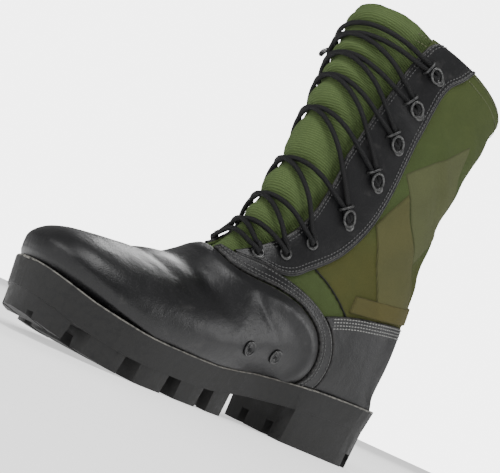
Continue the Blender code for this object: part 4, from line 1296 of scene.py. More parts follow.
@dataclass
class Panels:
    """Leather, canvas and webbing sewn on the last."""

    last: Last
    bench: Bench
    finishes: Finishes
    leather_out: float = 0.0021
    strip_out: float = 0.0029
    webbing_out: float = 0.0013
    canvas_wall: float = 0.0018
    edge_radius: float = 0.0013
    patch_radius: float = 0.0009
    seam_gap: float = 0.0003
    thread_lift: float = 0.0001
    edge_rows: Row = (0.0022, 0.0044)
    counter_rows: Row = (0.0016, 0.0038, 0.0060, 0.0082)
    hem_rows: Row = (0.0022, 0.0078)
    stay_middle: float = 0.012
    stay_corner: float = 0.009
    stay_start: float = 9.3
    piping_radius: float = 0.0011
    backstay_half: float = 0.013
    backstay_start: float = 16.35
    low_ring: float = 6.0
    vamp_seam: tuple[SidePoint, ...] = tuple(SidePoint(*row) for row in (
        (0.655, 0.350), (0.628, 0.318), (0.600, 0.300), (0.553, 0.297), (0.487, 0.300), (0.414, 0.293),
        (0.349, 0.266), (0.312, 0.225), (0.303, 0.172), (0.325, 0.110), (0.345, 0.060)))
    strip_seam: tuple[SidePoint, ...] = tuple(SidePoint(*row) for row in (
        (0.665, 0.385), (0.630, 0.342), (0.600, 0.330), (0.572, 0.330), (0.516, 0.334), (0.434, 0.327),
        (0.359, 0.308), (0.300, 0.273), (0.266, 0.222), (0.260, 0.165), (0.275, 0.110), (0.290, 0.060)))
    stay_seam: tuple[SidePoint, ...] = tuple(SidePoint(*row) for row in (
        (0.620, 0.300), (0.470, 0.338), (0.420, 0.372), (0.360, 0.430), (0.325, 0.490), (0.305, 0.560),
        (0.298, 0.640), (0.300, 0.740), (0.304, 0.830), (0.296, 0.905), (0.262, 0.952), (0.215, 1.050)))
    counter_seam: tuple[SidePoint, ...] = tuple(SidePoint(*row) for row in (
        (0.400, 0.262), (0.345, 0.292), (0.270, 0.322), (0.195, 0.343), (0.100, 0.362), (0.000, 0.375),
        (-0.060, 0.380)))
    canvas_seam: tuple[tuple[float, float], ...] = (
        (0.094, 0.117), (0.079, 0.112), (0.070, 0.109), (0.057, 0.103), (0.044, 0.095), (0.040, 0.091))
    creases: tuple[Crease, ...] = (
        Crease(((8.6, -0.62), (8.1, -0.40), (7.7, -0.15), (7.7, 0.15), (8.1, 0.40), (8.6, 0.62)),
               -0.0016, 0.008),
        Crease(((6.9, -0.46), (6.5, -0.22), (6.4, 0.0), (6.5, 0.22), (6.9, 0.46)), -0.0008, 0.0055),
        Crease(((9.6, -0.50), (9.1, -0.30), (8.8, -0.10), (8.8, 0.12), (9.2, 0.34)), 0.0004, 0.005),
        Crease(((10.3, -0.70), (9.9, -0.55), (9.7, -0.40)), -0.0007, 0.0035),
        Crease(((10.6, 0.72), (10.0, 0.52), (9.8, 0.40)), -0.0008, 0.0035),
    )

    folds: tuple[Crease, ...] = (
        Crease(((19.6, -0.86), (18.9, -0.84), (18.1, -0.86), (17.2, -0.90), (16.6, -0.97)), 0.0022, 0.0050),
        Crease(((19.2, -0.94), (18.4, -0.92), (17.7, -0.96)), -0.0022, 0.0045),
        Crease(((20.6, -0.45), (20.1, -0.62), (19.9, -0.80)), 0.0012, 0.0060),
        Crease(((20.2, -0.50), (19.6, -0.66), (19.3, -0.80)), -0.0012, 0.0050),
        Crease(((21.8, -0.58), (21.4, -0.72), (21.3, -0.86)), 0.0010, 0.0070),
        Crease(((17.6, 0.55), (17.4, 0.72), (17.0, 0.90)), 0.0018, 0.0055),
        Crease(((18.4, 0.50), (18.0, 0.68), (17.8, 0.88)), -0.0016, 0.0050),
        Crease(((20.4, 0.48), (20.0, 0.66), (19.9, 0.84)), 0.0012, 0.0065),
    )
    patches: tuple[tuple[str, tuple[tuple[float, float], ...], float, float], ...] = (
        ("ankle_patch", ((0.047, 0.203), (0.002, 0.151), (-0.024, 0.192), (0.005, 0.247)), 0.0005, 0.05),
        ("ankle_band", ((0.052, 0.161), (0.018, 0.104), (-0.027, 0.112), (0.038, 0.192)), 0.0010, 0.45),
        ("heel_band", ((0.043, 0.111), (0.043, 0.0985), (-0.027, 0.1125), (-0.025, 0.126)), 0.0015, 0.80),
    )

    def relief(self, points: Array, creases: Sequence[Crease]) -> Array:
        """Add up the heights of creases at points.

        Args:
            points: Points on the last.
            creases: The creases.

        Returns:
            A height for each point.
        """
        height = np.zeros(len(points))
        for crease in creases:
            flat = through(np.array(crease.places), 6)
            away, share = distance_to(points, self.last.point(flat[:, 0], flat[:, 1]))
            taper = np.sin(np.pi * np.clip(share, 0.0, 1.0)) ** 0.6
            height += crease.height * taper * np.exp(-((away / crease.width) ** 2))
        return height

    def slack(self, found: Array) -> Array:
        """Height of the canvas's waves and folds at sampled places."""
        waves = 0.0009 * np.sin(160.0 * found[:, 2] + 60.0 * found[:, 1]) * soft_step(0.11, 0.15, found[:, 2])
        return waves + 1.3 * self.relief(found[:, :3], self.folds)

    def dressed(self, u: Array, s: Array, proud: float, edges: Sequence[Array],
                relief: Optional[Array] = None,
                swell: Union[float, Array] = 0.0) -> Corners:
        """Lay a panel on the last, rolled down at its cut edges.

        Args:
            u: Rings of the panel's corners.
            s: Shares of the corners.
            proud: Height of the panel's face.
            edges: Lines of the cut edges.
            relief: Height added to the face.
            swell: Height of the padded roll inside the edges.

        Returns:
            Points, cloth coordinates, wear and outward normals.
        """
        found = self.last.sample(u, s)
        away = np.full(len(u), 1.0)
        for edge in edges:
            away = np.minimum(away, distance_to(found[:, :3], edge)[0])
        roll = np.sqrt(1 - (1 - np.minimum(1.0, away / self.edge_radius)) ** 2)
        padded = np.exp(-(((away - 0.008) / 0.0055) ** 2)) * soft_step(0.0, 0.003, away)
        height = proud * roll + swell * padded
        if relief is not None:
            height = height + relief * soft_step(0.0, 0.002, away)
        return skin(found, height, wear=0.85 * np.exp(-(((away - 0.0005) / 0.0009) ** 2)))

    def edge_line(self, u: Array, s: Array) -> Array:
        """The points of a cut edge that lie on the last."""
        good = ~np.isnan(u)
        return self.last.point(u[good], s[good])

    def seam_rings(self, seam: Sequence[SidePoint], shift: float, s: Array) -> Array:
        """Rings at which columns cross a seam moved by a shift, not a number where they don't."""
        return self.last.crossing(self.last.seam(seam, shift), s, np.full(len(s), self.low_ring))

    def build_vamp(self) -> None:
        """Make the vamp, one panel over the toe, with its puffed rear edge."""
        s = np.linspace(-1.0, 1.0, 161)
        rings = self.seam_rings(self.vamp_seam, self.seam_gap, s)
        good = ~np.isnan(rings)
        rings = np.interp(s, s[good], rings[good])
        edge = self.edge_line(rings, s)

        def surface(a: Array, b: Array) -> Corners:
            """Points of the vamp at shares across and along.

            Args:
                a: Shares across.
                b: Shares along.

            Returns:
                The points, with the values that they carry.
            """
            share = 2 * a - 1
            rise = 1 - (1 - b) ** 1.35
            u = np.interp(share, s, rings) * rise
            base = self.last.point(u, share)
            swell = 0.0004 + 0.0014 * soft_step(0.15, 0.5, np.abs(share))
            return self.dressed(u, share, self.leather_out, [edge], self.relief(base, self.creases), swell)

        mesh = self.bench.grid(columns=160, rows=130, surface=surface)
        self.bench.piece("vamp_leather", mesh, self.finishes.leather, "leather", ["vamp"])

    def build_strips(self) -> None:
        """Make the strips behind the vamp, with a folded edge, two rows of stitches behind the front edge and
        one ahead of the rear edge.
        """
        for side in Side:
            s = side.value * np.linspace(0.02, 1.0, 170)
            front = self.seam_rings(self.vamp_seam, -self.seam_gap, s)
            rear = self.seam_rings(self.strip_seam, self.seam_gap, s)
            good = ~np.isnan(front) & ~np.isnan(rear)
            x = np.abs(self.last.point(np.where(good, rear, 9.0), s)[:, 0])
            good &= x > self.stay_middle
            s, front, rear = s[good], front[good], rear[good]
            order = np.argsort(s)
            s, front, rear = s[order], front[order], rear[order]
            first = 0 if side is Side.LATERAL else -1
            end = self.last.point(np.linspace(front[first], rear[first], 8), np.full(8, s[first]))
            edges = [self.edge_line(front, s), self.edge_line(rear, s), end]

            def surface(a: Array, b: Array) -> Corners:
                """Points of the strip at shares across and along.

                Args:
                    a: Shares across.
                    b: Shares along.

                Returns:
                    The points, with the values that they carry.
                """
                share = s[0] + a * (s[-1] - s[0])
                low, high = np.interp(share, s, front), np.interp(share, s, rear)
                u = low + (high - low) * (0.5 - 0.5 * np.cos(np.pi * b))
                return self.dressed(u, share, self.strip_out, edges)

            mesh = self.bench.grid(columns=170, rows=26, surface=surface)
            name = side.label
            self.bench.piece(f"strip_leather_{name}", mesh, self.finishes.leather, "leather",
                             [f"side_strip_{name}"])
            self.sew_strip(side)

    def sew_strip(self, side: Side) -> None:
        """Sew two rows behind a strip's front edge and one ahead of its rear edge.

        Args:
            side: The side of the boot.
        """
        behind = self.last.seam(self.vamp_seam, -0.0020)
        ahead = self.last.seam(self.strip_seam, 0.0020)
        near, far = self.edge_rows
        rows = []
        for seam, shift in ((self.vamp_seam, -near), (self.vamp_seam, -far), (self.strip_seam, near)):
            places = self.last.locate(evenly(self.last.seam(seam, shift), 0.0015), side)
            found = self.last.sample(places[:, 0], places[:, 1])
            keep = self.last.beside(behind, found[:, 1:3]) < 0.0006
            keep &= self.last.beside(ahead, found[:, 1:3]) > -0.0006
            keep &= np.abs(found[:, 0]) > self.stay_middle + 0.001
            if keep.sum() > 2:
                rows.append(sewn_at(found[keep], self.strip_out + self.thread_lift))
        self.bench.stitches(f"strip_stitches_{side.label}", rows, self.finishes.grey_thread, "leather")

    def build_stays(self) -> None:
        """Make the eyestays, with a piped rear edge."""
        for side in Side:
            us = np.linspace(self.stay_start, self.last.collar_ring, 240)
            shares = side.value * np.linspace(0.0, 1.0, 400)
            grid = self.last.point(us[:, None] + 0 * shares[None], shares[None] + 0 * us[:, None])
            above = self.last.beside(self.last.seam(self.strip_seam, -self.seam_gap), grid[..., 1:])
            ahead = self.last.beside(self.last.seam(self.stay_seam), grid[..., 1:])
            inner = side.value * self.last.throat(us) / self.last.length(us, side)
            outer = np.zeros(len(us))
            for i in range(len(us)):
                past = np.abs(shares) > abs(inner[i])
                bad = past & ((above[i] > 0) | (ahead[i] > 0))
                outer[i] = shares[np.argmax(bad)] if bad.any() else shares[-1]
                if above[i][np.argmax(past)] > 0:
                    outer[i] = inner[i]
            wide = np.abs(outer - inner) * self.last.length(us, side) > 0.002
            start = int(np.argmax(wide))
            us, inner, outer = us[start:], inner[start:], outer[start:]
            outer[3:-3] = np.convolve(outer, np.ones(7) / 7, "valid")
            below = self.last.sample(us[-1:], inner[-1:])[0, 7] - self.last.sample(us, inner)[:, 7]
            corner = self.stay_corner
            cut = corner - np.sqrt(np.maximum(0.0, corner**2 - np.maximum(0.0, corner - below) ** 2))
            inner = inner + side.value * cut / self.last.length(us, side)
            front, rear = self.last.point(us, inner), self.last.point(us, outer)
            top = self.last.point(np.full(12, us[-1]), np.linspace(inner[-1], outer[-1], 12))
            edges = [front, rear, top]

            def surface(a: Array, b: Array) -> Corners:
                """Points of the eyestay at shares across and along.

                Args:
                    a: Shares across.
                    b: Shares along.

                Returns:
                    The points, with the values that they carry.
                """
                u = us[0] + (us[-1] - us[0]) * b
                one, two = np.interp(u, us, inner), np.interp(u, us, outer)
                share = one + (two - one) * (0.5 - 0.5 * np.cos(np.pi * a))
                return self.dressed(u, share, self.leather_out, edges)

            mesh = self.bench.grid(columns=46, rows=230, surface=surface)
            name = side.label
            self.bench.piece(f"eyestay_leather_{name}", mesh, self.finishes.leather, "leather",
                             [f"eyestay_{name}"])
            rows = []
            reach = self.last.length(us, side)
            for base, sign in ((inner, side.value), (outer, -side.value)):
                for away in self.edge_rows:
                    fits = np.abs(outer - inner) * reach > 2 * away + 0.003
                    found = self.last.sample(us[fits], (base + sign * away / reach)[fits])
                    rows.append(sewn_at(found, self.leather_out + self.thread_lift))
            self.bench.stitches(f"eyestay_stitches_{name}", rows, self.finishes.thread, "leather")
            line = evenly(self.last.point(us, outer, 0.0009), 0.003)
            piping = self.bench.tube(line, self.piping_radius, 10, wear=0.1)
            self.bench.piece(f"eyestay_piping_{name}", piping, self.finishes.leather, "leather")

    def build_counter(self) -> None:
        """Make the counter round the heel, with worn rows of stitches under its top edge."""
        halves, rows = [], []
        strip = self.last.seam(self.strip_seam, -0.0015)
        for side in Side:
            s = side.value * np.linspace(0.30, 1.0, 200)
            low = self.seam_rings(self.strip_seam, -self.seam_gap, s)
            good = ~np.isnan(low)
            low = np.interp(np.abs(s), np.abs(s[good]), low[good])
            high = self.last.crossing(self.last.seam(self.counter_seam, self.seam_gap), s, low)
            good = ~np.isnan(high) & (high > low)
            s, low, high = s[good], low[good], high[good]
            edges = [self.edge_line(low, s), self.edge_line(high, s)]

            def surface(a: Array, b: Array) -> Corners:
                """Points of half the counter at shares across and along.

                Args:
                    a: Shares across.
                    b: Shares along.

                Returns:
                    The points, with the values that they carry.
                """
                share = s[0] + a * (s[-1] - s[0])
                one = np.interp(np.abs(share), np.abs(s), low)
                two = np.interp(np.abs(share), np.abs(s), high)
                u = one + (two - one) * (0.5 - 0.5 * np.cos(np.pi * b))
                return self.dressed(u, share, self.leather_out, edges)

            halves.append(self.bench.grid(columns=90, rows=60, surface=surface))
            for away in self.counter_rows:
                found = self.last.beside_line(np.column_stack([high, s]), away, (0.0, 0.0, -1.0))
                found = found[self.last.beside(strip, found[:, 1:3]) < 0]
                rows.append(sewn_at(found, self.leather_out + self.thread_lift))
        mesh = self.bench.merged(halves, sewn=True)
        self.bench.piece("counter_leather", mesh, self.finishes.leather, "leather", ["counter"])
        self.bench.stitches("counter_stitches", rows, self.finishes.worn_thread, "leather", thick=0.00048)

    def build_canvas(self) -> None:
        """Make the canvas body in two halves sewn at the toe and the back, with a hem at the collar."""
        line = np.array(self.canvas_seam)
        collar = float(self.last.collar_ring)
        halves, rows = [], []
        for side in Side:

            def surface(a: Array, b: Array) -> Corners:
                """Points of half the canvas at shares across and along.

                Args:
                    a: Shares across.
                    b: Shares along.

                Returns:
                    The points, with the values that they carry.
                """
                u = self.last.collar_ring * b
                inner = self.last.throat(u) / self.last.length(u, side) * soft_step(8.6, 9.2, u)
                share = side.value * (inner + (1 - inner) * a)
                found = self.last.sample(u, share)
                gap = self.last.sample(np.full(len(u), collar), share)[:, 7] - found[:, 7]
                hem = 0.0007 * soft_step(0.0, 0.0015, gap) * (1 - soft_step(0.009, 0.0105, gap))
                flat = found[:, 1:3]
                away = distance_to(flat, line)[0]
                groove = np.exp(-((away / 0.0007) ** 2))
                height = hem - 0.0006 * groove + self.slack(found) * soft_step(0.0, 0.02, gap)
                behind = soft_step(-0.0012, 0.0012, -self.last.beside(line, flat)) * (found[:, 1] < 0.096)
                low = 1 - soft_step(0.130, 0.185, found[:, 2])
                tone = np.clip(0.90 * behind * low + 0.22 * soft_step(0.19, 0.27, found[:, 2]), 0.0, 1.0)
                # Darker along the seam groove, which is painted shade in the groove, and darker within 4 mm
                # of the collar edge; both go into the carried wear.
                wear = np.clip(groove + 0.35 * (1 - soft_step(0.0, 0.004, gap)), 0.0, 1.0)
                return skin(found, height, tone=tone, wear=wear)

            halves.append(self.bench.grid(columns=58, rows=190, surface=surface))
            shares = side.value * np.linspace(0.06, 1.0, 120)
            top = self.last.sample(np.full(120, collar), shares)[:, 7]
            half_ring_down = top - self.last.sample(np.full(120, collar - 0.5), shares)[:, 7]
            for away in self.hem_rows:
                u = collar - 0.5 * away / np.maximum(half_ring_down, 1e-6)
                rows.append(sewn_at(self.last.sample(u, shares), 0.0008))
        mesh = self.bench.merged(halves, sewn=True)
        self.bench.piece("canvas_body", mesh, self.finishes.canvas, "canvas", ["upper"],
                         wall=self.canvas_wall)
        for side in Side:
            places = self.last.locate(evenly(through(line, 6), 0.002), side)
            run = self.last.point(places[:, 0], places[:, 1], 0.0002)
            self.bench.piece(f"canvas_seam_{side.label}", self.bench.tube(run, 0.00055, 8),
                             self.finishes.cord, "canvas")
        olive = Thread("olive_thread", (0.10, 0.11, 0.05)).make()
        self.bench.stitches("collar_stitches", rows, olive, "canvas")

    def patch(self, corners: Sequence[tuple[float, float]], columns: int, rows: int, side: Side,
              proud: float, tone: float) -> Mesh:
        """Lay a four-cornered patch on the last.

        Args:
            corners: Y and Z of the corners, in order.
            columns: Faces across.
            rows: Faces along.
            side: The side of the boot.
            proud: Height of the patch.
            tone: Its carried tone.

        Returns:
            The bmesh.
        """
        at = self.last.locate(np.array(corners), side, 1.0)
        at = self.last.point(at[:, 0], at[:, 1])
        one, two, four = np.array(corners[0]), np.array(corners[1]), np.array(corners[3])

        def surface(a: Array, b: Array) -> Corners:
            """Points of the patch at shares across and along.

            Args:
                a: Shares across.
                b: Shares along.

            Returns:
                The points, with the values that they carry.
            """
            chord = ((1 - a) * (1 - b))[:, None] * at[0] + (a * (1 - b))[:, None] * at[1]
            chord += (a * b)[:, None] * at[2] + ((1 - a) * b)[:, None] * at[3]
            places = self.last.nearest(chord)
            found = self.last.sample(places[:, 0], places[:, 1])
            rim = np.minimum(np.minimum(a, 1 - a) * np.linalg.norm(two - one),
                             np.minimum(b, 1 - b) * np.linalg.norm(four - one))
            roll = np.sqrt(1 - (1 - np.minimum(1.0, rim / self.patch_radius)) ** 2)
            height = 0.0001 + proud * roll + self.slack(found)
            wear = 0.6 * np.exp(-((rim / 0.0008) ** 2))
            return skin(found, height, tone=np.full(len(a), tone), wear=wear)

        return self.bench.grid(columns, rows, surface)

    def build_webbing(self) -> None:
        """Make the backstay and the webbing patches at the ankle."""
        half, start = self.backstay_half, self.backstay_start

        def surface(a: Array, b: Array) -> Corners:
            """Points of the backstay, from the counter to the collar.

            Args:
                a: Shares across.
                b: Shares along.

            Returns:
                The points, with the values that they carry.
            """
            u = start + (self.last.collar_ring - start) * b
            across = half * (2 * a - 1)
            share = np.where(across < 0, -1.0, 1.0) * (1 - np.abs(across) / self.last.side_length(u, across))
            found = self.last.sample(u, share)
            rim = np.minimum(half - np.abs(across), 0.002)
            roll = np.sqrt(1 - (1 - np.minimum(1.0, rim / self.patch_radius)) ** 2)
            height = 0.0001 + self.webbing_out * roll * soft_step(-0.02, 0.01, b)
            return skin(found, height, np.column_stack([across, found[:, 7]]), tone=np.full(len(a), 0.35),
                        wear=0.5 * np.exp(-((rim / 0.0008) ** 2)))

        mesh = self.bench.grid(columns=41, rows=120, surface=surface)
        self.bench.piece("backstay_webbing", mesh, self.finishes.webbing, "webbing", ["backstay"])
        rows = []
        u = np.linspace(16.5, 22.9, 160)
        for side in Side:
            share = side.value * (1 - (half - self.edge_rows[0]) / self.last.length(u, side))
            rows.append(sewn_at(self.last.sample(u, share), self.webbing_out + 0.0002))
        tan = Thread("tan_thread", (0.15, 0.13, 0.07)).make()
        self.bench.stitches("backstay_stitches", rows, tan, "webbing")
        for name, corners, proud, tone in self.patches:
            for side in Side:
                mesh = self.patch(corners, 44, 50, side, proud, tone)
                self.bench.piece(f"{name}_{side.label}", mesh, self.finishes.webbing, "webbing")


@dataclass
class Lacing:
    """Fittings, tongue and lace."""

    last: Last
    bench: Bench
    finishes: Finishes
    cord_diameter: float = 0.0034
    lace_gap: float = 0.0009
    leather_out: float = 0.0021
    eyelet_reach: float = 0.0068
    loop_reach: float = 0.00865
    lace_spacing: float = 0.0012
    tongue_margin: float = 0.012
    tongue_bulge: float = 0.006
    tongue_under: float = 0.0032
    tongue_wall: float = 0.0022
    tongue_top: float = 0.28
    puff: float = 0.0042
    knot_size: Row = (0.0085, 0.0105, 0.0085)
    eyelets: tuple[SidePoint, ...] = tuple(SidePoint(*row) for row in (
        (0.543, 0.350), (0.485, 0.378), (0.432, 0.428)))
    loops: tuple[SidePoint, ...] = tuple(SidePoint(*row) for row in (
        (0.372, 0.520), (0.346, 0.630), (0.342, 0.730), (0.342, 0.822), (0.338, 0.912)))
    vents: tuple[SidePoint, ...] = (SidePoint(0.522, 0.157), SidePoint(0.428, 0.168))
    into_eyelet: tuple[Row, ...] = (
        (0.0042, 0.0036, 1.0), (0.0022, 0.0034, 0.75), (0.0008, 0.0016, 0.45), (0.0002, -0.0012, 0.35))
    into_loop: tuple[Row, ...] = (
        (0.0060, 0.0024, 1.0), (0.0035, 0.0021, 1.0), (0.0008, 0.0020, 0.85), (-0.0012, 0.0019, 0.40),
        (-0.0016, 0.0019, 0.0))
    eyelet_rim: tuple[Row, ...] = (
        (0.0026, 0.0003), (0.0026, 0.0010), (0.0030, 0.0013), (0.0038, 0.0012), (0.0044, 0.0007),
        (0.0046, 0.0), (0.0044, -0.0004), (0.0028, -0.0004))
    vent_rim: tuple[Row, ...] = (
        (0.0, 0.0002), (0.0021, 0.0002), (0.0024, 0.0008), (0.0028, 0.0009), (0.0031, 0.0005),
        (0.0036, 0.0004), (0.0040, 0.0009), (0.0045, 0.0013), (0.0050, 0.0009), (0.00525, 0.0),
        (0.0, -0.0002))
    plate_rim: tuple[Row, ...] = (
        (0.0, 0.0006), (0.0030, 0.0006), (0.0036, 0.0002), (0.0036, -0.0003), (0.0, -0.0003))
    aglet_end: tuple[Row, ...] = ((0.0, 1.42, 0.85), (-0.5, 2.5, 1.35), (-1.4, 3.9, 1.5), (-2.8, 5.0, 1.5),
                                  (-4.4, 6.2, 1.45), (-5.8, 7.2, 1.4), (-7.0, 8.0, 1.38))
    loose_end: tuple[Row, ...] = ((0.0, -1.42, 0.95), (0.2, -2.5, 2.1), (-0.6, -3.9, 2.9), (-2.2, -4.4, 3.1),
                                  (-3.8, -4.3, 3.0), (-5.0, -4.6, 3.3), (-6.4, -5.4, 3.2), (-7.6, -6.6, 2.9))

    def __post_init__(self) -> None:
        """Find the stations of both sides."""
        reaches = [self.eyelet_reach] * len(self.eyelets) + [self.loop_reach] * len(self.loops)
        self.spots, self.stations = {}, {}
        for side in Side:
            spots = [self.last.spot(point, side) for point in (*self.eyelets, *self.loops)]
            self.spots[side] = spots
            self.stations[side] = [Spot(at.u, at.arc - side.value * reach)
                                   for at, reach in zip(spots, reaches)]

    def tongue_offset(self, u: Array, arc: Array) -> Array:
        """Work out the height of the tongue's outside over the last, as in the CAD source.

        Args:
            u: Rings.
            arc: Distances from the front.

        Returns:
            The heights.
        """
        free = self.last.throat(u) - 0.3 * self.tongue_margin
        share = np.minimum(1.0, np.abs(arc) / free)
        grown = np.clip((np.asarray(u) - self.last.throat_start - 0.1) / 3, 0.0, 1.0)
        return -self.tongue_under + (self.tongue_under + self.tongue_bulge) * grown * (1 - share**2) ** 1.5

    def lace_height(self, u: float, arc: float) -> float:
        """Work out how far a lace's middle runs outside the last.

        Args:
            u: The ring.
            arc: Distance from the front.

        Returns:
            The height.
        """
        clear = self.lace_gap + 0.5 * self.cord_diameter
        edge = self.leather_out + clear
        middle = max(float(self.tongue_offset(u, 0.0)), 0.0) + clear
        share = min(1.0, abs(arc) / float(self.last.throat(u)))
        return edge + (middle - edge) * (1 - share**4)

    def raised(self, u: float, arc: float, height: float) -> Array:
        """A point at a height over the last."""
        share = self.last.share(Spot(u, arc if arc else 1e-6))
        return self.last.point(np.array([u]), np.array([share]), height)[0]

    def shifted(self, spot: Spot, distance: float) -> Spot:
        """A spot moved along the throat."""
        step = self.raised(spot.u + 0.1, spot.arc, 0.0) - self.raised(spot.u, spot.arc, 0.0)
        return Spot(spot.u + 0.1 * distance / float(np.linalg.norm(step)), spot.arc)

    def run(self, start: Spot, end: Spot, steps: int = 26) -> Array:
        """Lay a lace over the tongue between two stations.

        Args:
            start: The first station.
            end: The other one.
            steps: Stretches between them.

        Returns:
            Rows of points.
        """
        rows = []
        for i in range(steps + 1):
            swing = 2 * i / steps - 1
            share = 0.5 + 0.5 * math.copysign(abs(swing) ** 1.3, swing)
            u = start.u + (end.u - start.u) * share
            arc = start.arc + (end.arc - start.arc) * share
            rows.append(self.raised(u, arc, self.lace_height(u, arc)))
        return np.array(rows)

    def into(self, side: Side, index: int, away: float) -> list[Array]:
        """Points by which a strand goes on from its station into the fitting.

        Args:
            side: The side of the boot.
            index: The station's number.
            away: How far the strand is moved along the throat there.

        Returns:
            Points from the station's side inwards.
        """
        spot = self.spots[side][index]
        rows = []
        for short, height, share in self.into_eyelet if index < len(self.eyelets) else self.into_loop:
            at = self.shifted(Spot(spot.u, spot.arc - side.value * short), away * share)
            rows.append(self.raised(at.u, at.arc, self.leather_out + height))
        return rows

    def strand(self, start: tuple[Side, int, float], end: tuple[Side, int, float]) -> Array:
        """The whole line of a strand between two fittings.

        Args:
            start: Side, number and shift of the station where it starts.
            end: The same where it ends.

        Returns:
            Rows of points.
        """
        one = self.shifted(self.stations[start[0]][start[1]], start[2])
        two = self.shifted(self.stations[end[0]][end[1]], end[2])
        line = [*self.into(*start)[::-1], *self.run(one, two), *self.into(*end)]
        return evenly(through(np.array(line), 4), self.lace_spacing)

    def strands(self) -> dict[str, list[Array]]:
        """Lay all the strands.

        Returns:
            Lines of the lace by CAD node.
        """
        apart = 0.5 * self.cord_diameter + 0.5 * self.lace_gap
        count = len(self.stations[Side.MEDIAL])
        inner, outer = Side.MEDIAL, Side.LATERAL
        made = {"lace_bar_bottom": [self.strand((inner, 0, -apart), (outer, 0, -apart))]}
        for i in range(count - 1):
            made[f"lace_cross_{i + 1}"] = [
                self.strand((inner, i, apart), (outer, i + 1, -apart)),
                self.strand((outer, i, apart), (inner, i + 1, -apart)),
            ]
        first = self.shifted(self.stations[inner][-1], apart)
        last = self.shifted(self.stations[outer][-1], apart)
        last = Spot(last.u, last.arc - (0.7 * self.knot_size[0] + self.lace_gap))
        line = [*self.into(inner, count - 1, apart)[::-1], *self.run(first, last)]
        made["lace_bar_top"] = [evenly(through(np.array(line), 4), self.lace_spacing)]
        return made

    def frame_at(self, spot: Spot, height: float) -> Matrix:
        """Set a frame on the last, with X to the throat, Y along it and Z out.

        Args:
            spot: Its place.
            height: Its height over the last.

        Returns:
            The frame.
        """
        share = self.last.share(spot)
        found = self.last.sample(np.array([spot.u]), np.array([share]))[0]
        normal = Vector(found[3:6])
        nearer = Vector(self.raised(spot.u, 0.9 * spot.arc, 0.0)) - Vector(found[:3])
        inward = (nearer - normal * nearer.dot(normal)).normalized()
        up = normal.cross(inward)
        at = Vector(found[:3]) + height * normal
        return Matrix([[inward[k], up[k], normal[k], at[k]] for k in range(3)] + [[0, 0, 0, 1]])

    def lathe(self, profile: Sequence[Row], place: Matrix, steps: int = 40) -> Mesh:
        """Turn a closed profile round the Z of a frame.

        Args:
            profile: Radius and height of its points.
            place: The frame.
            steps: Faces round.

        Returns:
            The bmesh.
        """
        mesh = bmesh.new()
        wear = mesh.verts.layers.float.new("wear")
        verts = [mesh.verts.new((radius, 0.0, z)) for radius, z in profile]
        top = max(z for _, z in profile)
        for vert, (_, z) in zip(verts, profile):
            vert[wear] = 0.45 if z > 0.8 * top else 0.05
        edges = [mesh.edges.new(pair) for pair in zip(verts, verts[1:] + verts[:1])]
        bmesh.ops.spin(mesh, geom=[*verts, *edges], cent=(0, 0, 0), axis=(0, 0, 1), angle=2 * math.pi,
                       steps=steps, use_merge=True)
        bmesh.ops.recalc_face_normals(mesh, faces=mesh.faces)
        bmesh.ops.transform(mesh, matrix=place, verts=mesh.verts)
        return mesh

    def build_fittings(self) -> None:
        """Make the drain vents, eyelets and speed loops."""
        metal = self.finishes.metal
        for i, point in enumerate(self.vents, 1):
            place = self.frame_at(self.last.spot(point, Side.MEDIAL), self.leather_out + 0.0001)
            self.bench.piece(f"vent_ring_{i}", self.lathe(self.vent_rim, place), metal, "metal",
                             [f"drain_vent_{i}"])
        for side in Side:
            holes = len(self.eyelets)
            for i, spot in enumerate(self.spots[side][:holes], 1):
                mesh = self.lathe(self.eyelet_rim, self.frame_at(spot, self.leather_out))
                self.bench.piece(f"eyelet_ring_{side.label}_{i}", mesh, metal, "metal",
                                 [f"eyelet_{side.label}_{i}"])
            for i, spot in enumerate(self.spots[side][holes:], 1):
                self.bench.piece(f"loop_wire_{side.label}_{i}", self.loop(spot), metal, "metal",
                                 [f"speed_loop_{side.label}_{i}"])

    def loop(self, spot: Spot) -> Mesh:
        """Make a bent wire ring on a riveted plate, with the arch that keeps the lace in.

        Args:
            spot: Its place.

        Returns:
            The bmesh.
        """
        place = self.frame_at(spot, self.leather_out)
        turn = np.linspace(0.0, 2 * np.pi, 49)
        lift = 0.0042 * (0.5 + 0.5 * np.cos(turn)) ** 1.5
        line = np.column_stack([0.0055 * np.cos(turn), 0.0043 * np.sin(turn), 0.00095 + lift])
        line = np.array([place @ Vector(row) for row in line])
        wire = self.bench.tube(line, 0.00095, 10, wear=0.32)
        plate = self.lathe(self.plate_rim, place @ Matrix.Translation((-0.0052, 0, 0)), 24)
        half = np.linspace(0.0, np.pi, 25)
        arch_height = 0.0004 + 0.0052 * np.sin(half) ** 0.6
        arch = np.column_stack([np.full(25, 0.0078), 0.0050 * np.cos(half), arch_height])
        keeper = self.bench.tube(np.array([place @ Vector(row) for row in arch]), 0.0009, 10, wear=0.15)
        return self.bench.merged([wire, plate, keeper])

    def build_lace(self) -> None:
        """Make the strands, the knot and the lace's two ends."""
        radius = 0.5 * self.cord_diameter
        lines = self.strands()
        self.lines = [line for group in lines.values() for line in group]
        knot = self.shifted(self.stations[Side.LATERAL][-1], 0.5 * (self.cord_diameter + self.lace_gap)
                            + 0.3 * self.cord_diameter)
        knot = Spot(knot.u, knot.arc - 0.45 * self.knot_size[0])
        knot_piece = self.build_knot(knot)
        self.build_end("lace_end_aglet", self.aglet_end, knot, self.finishes.aglet)
        self.build_end("lace_end_loose", self.loose_end, knot, self.finishes.rubber)
        for name, group in lines.items():
            meshes = [self.bench.tube(line, radius) for line in group]
            self.bench.piece(f"{name}_cord", self.bench.merged(meshes), self.finishes.cord, "cord", [name])

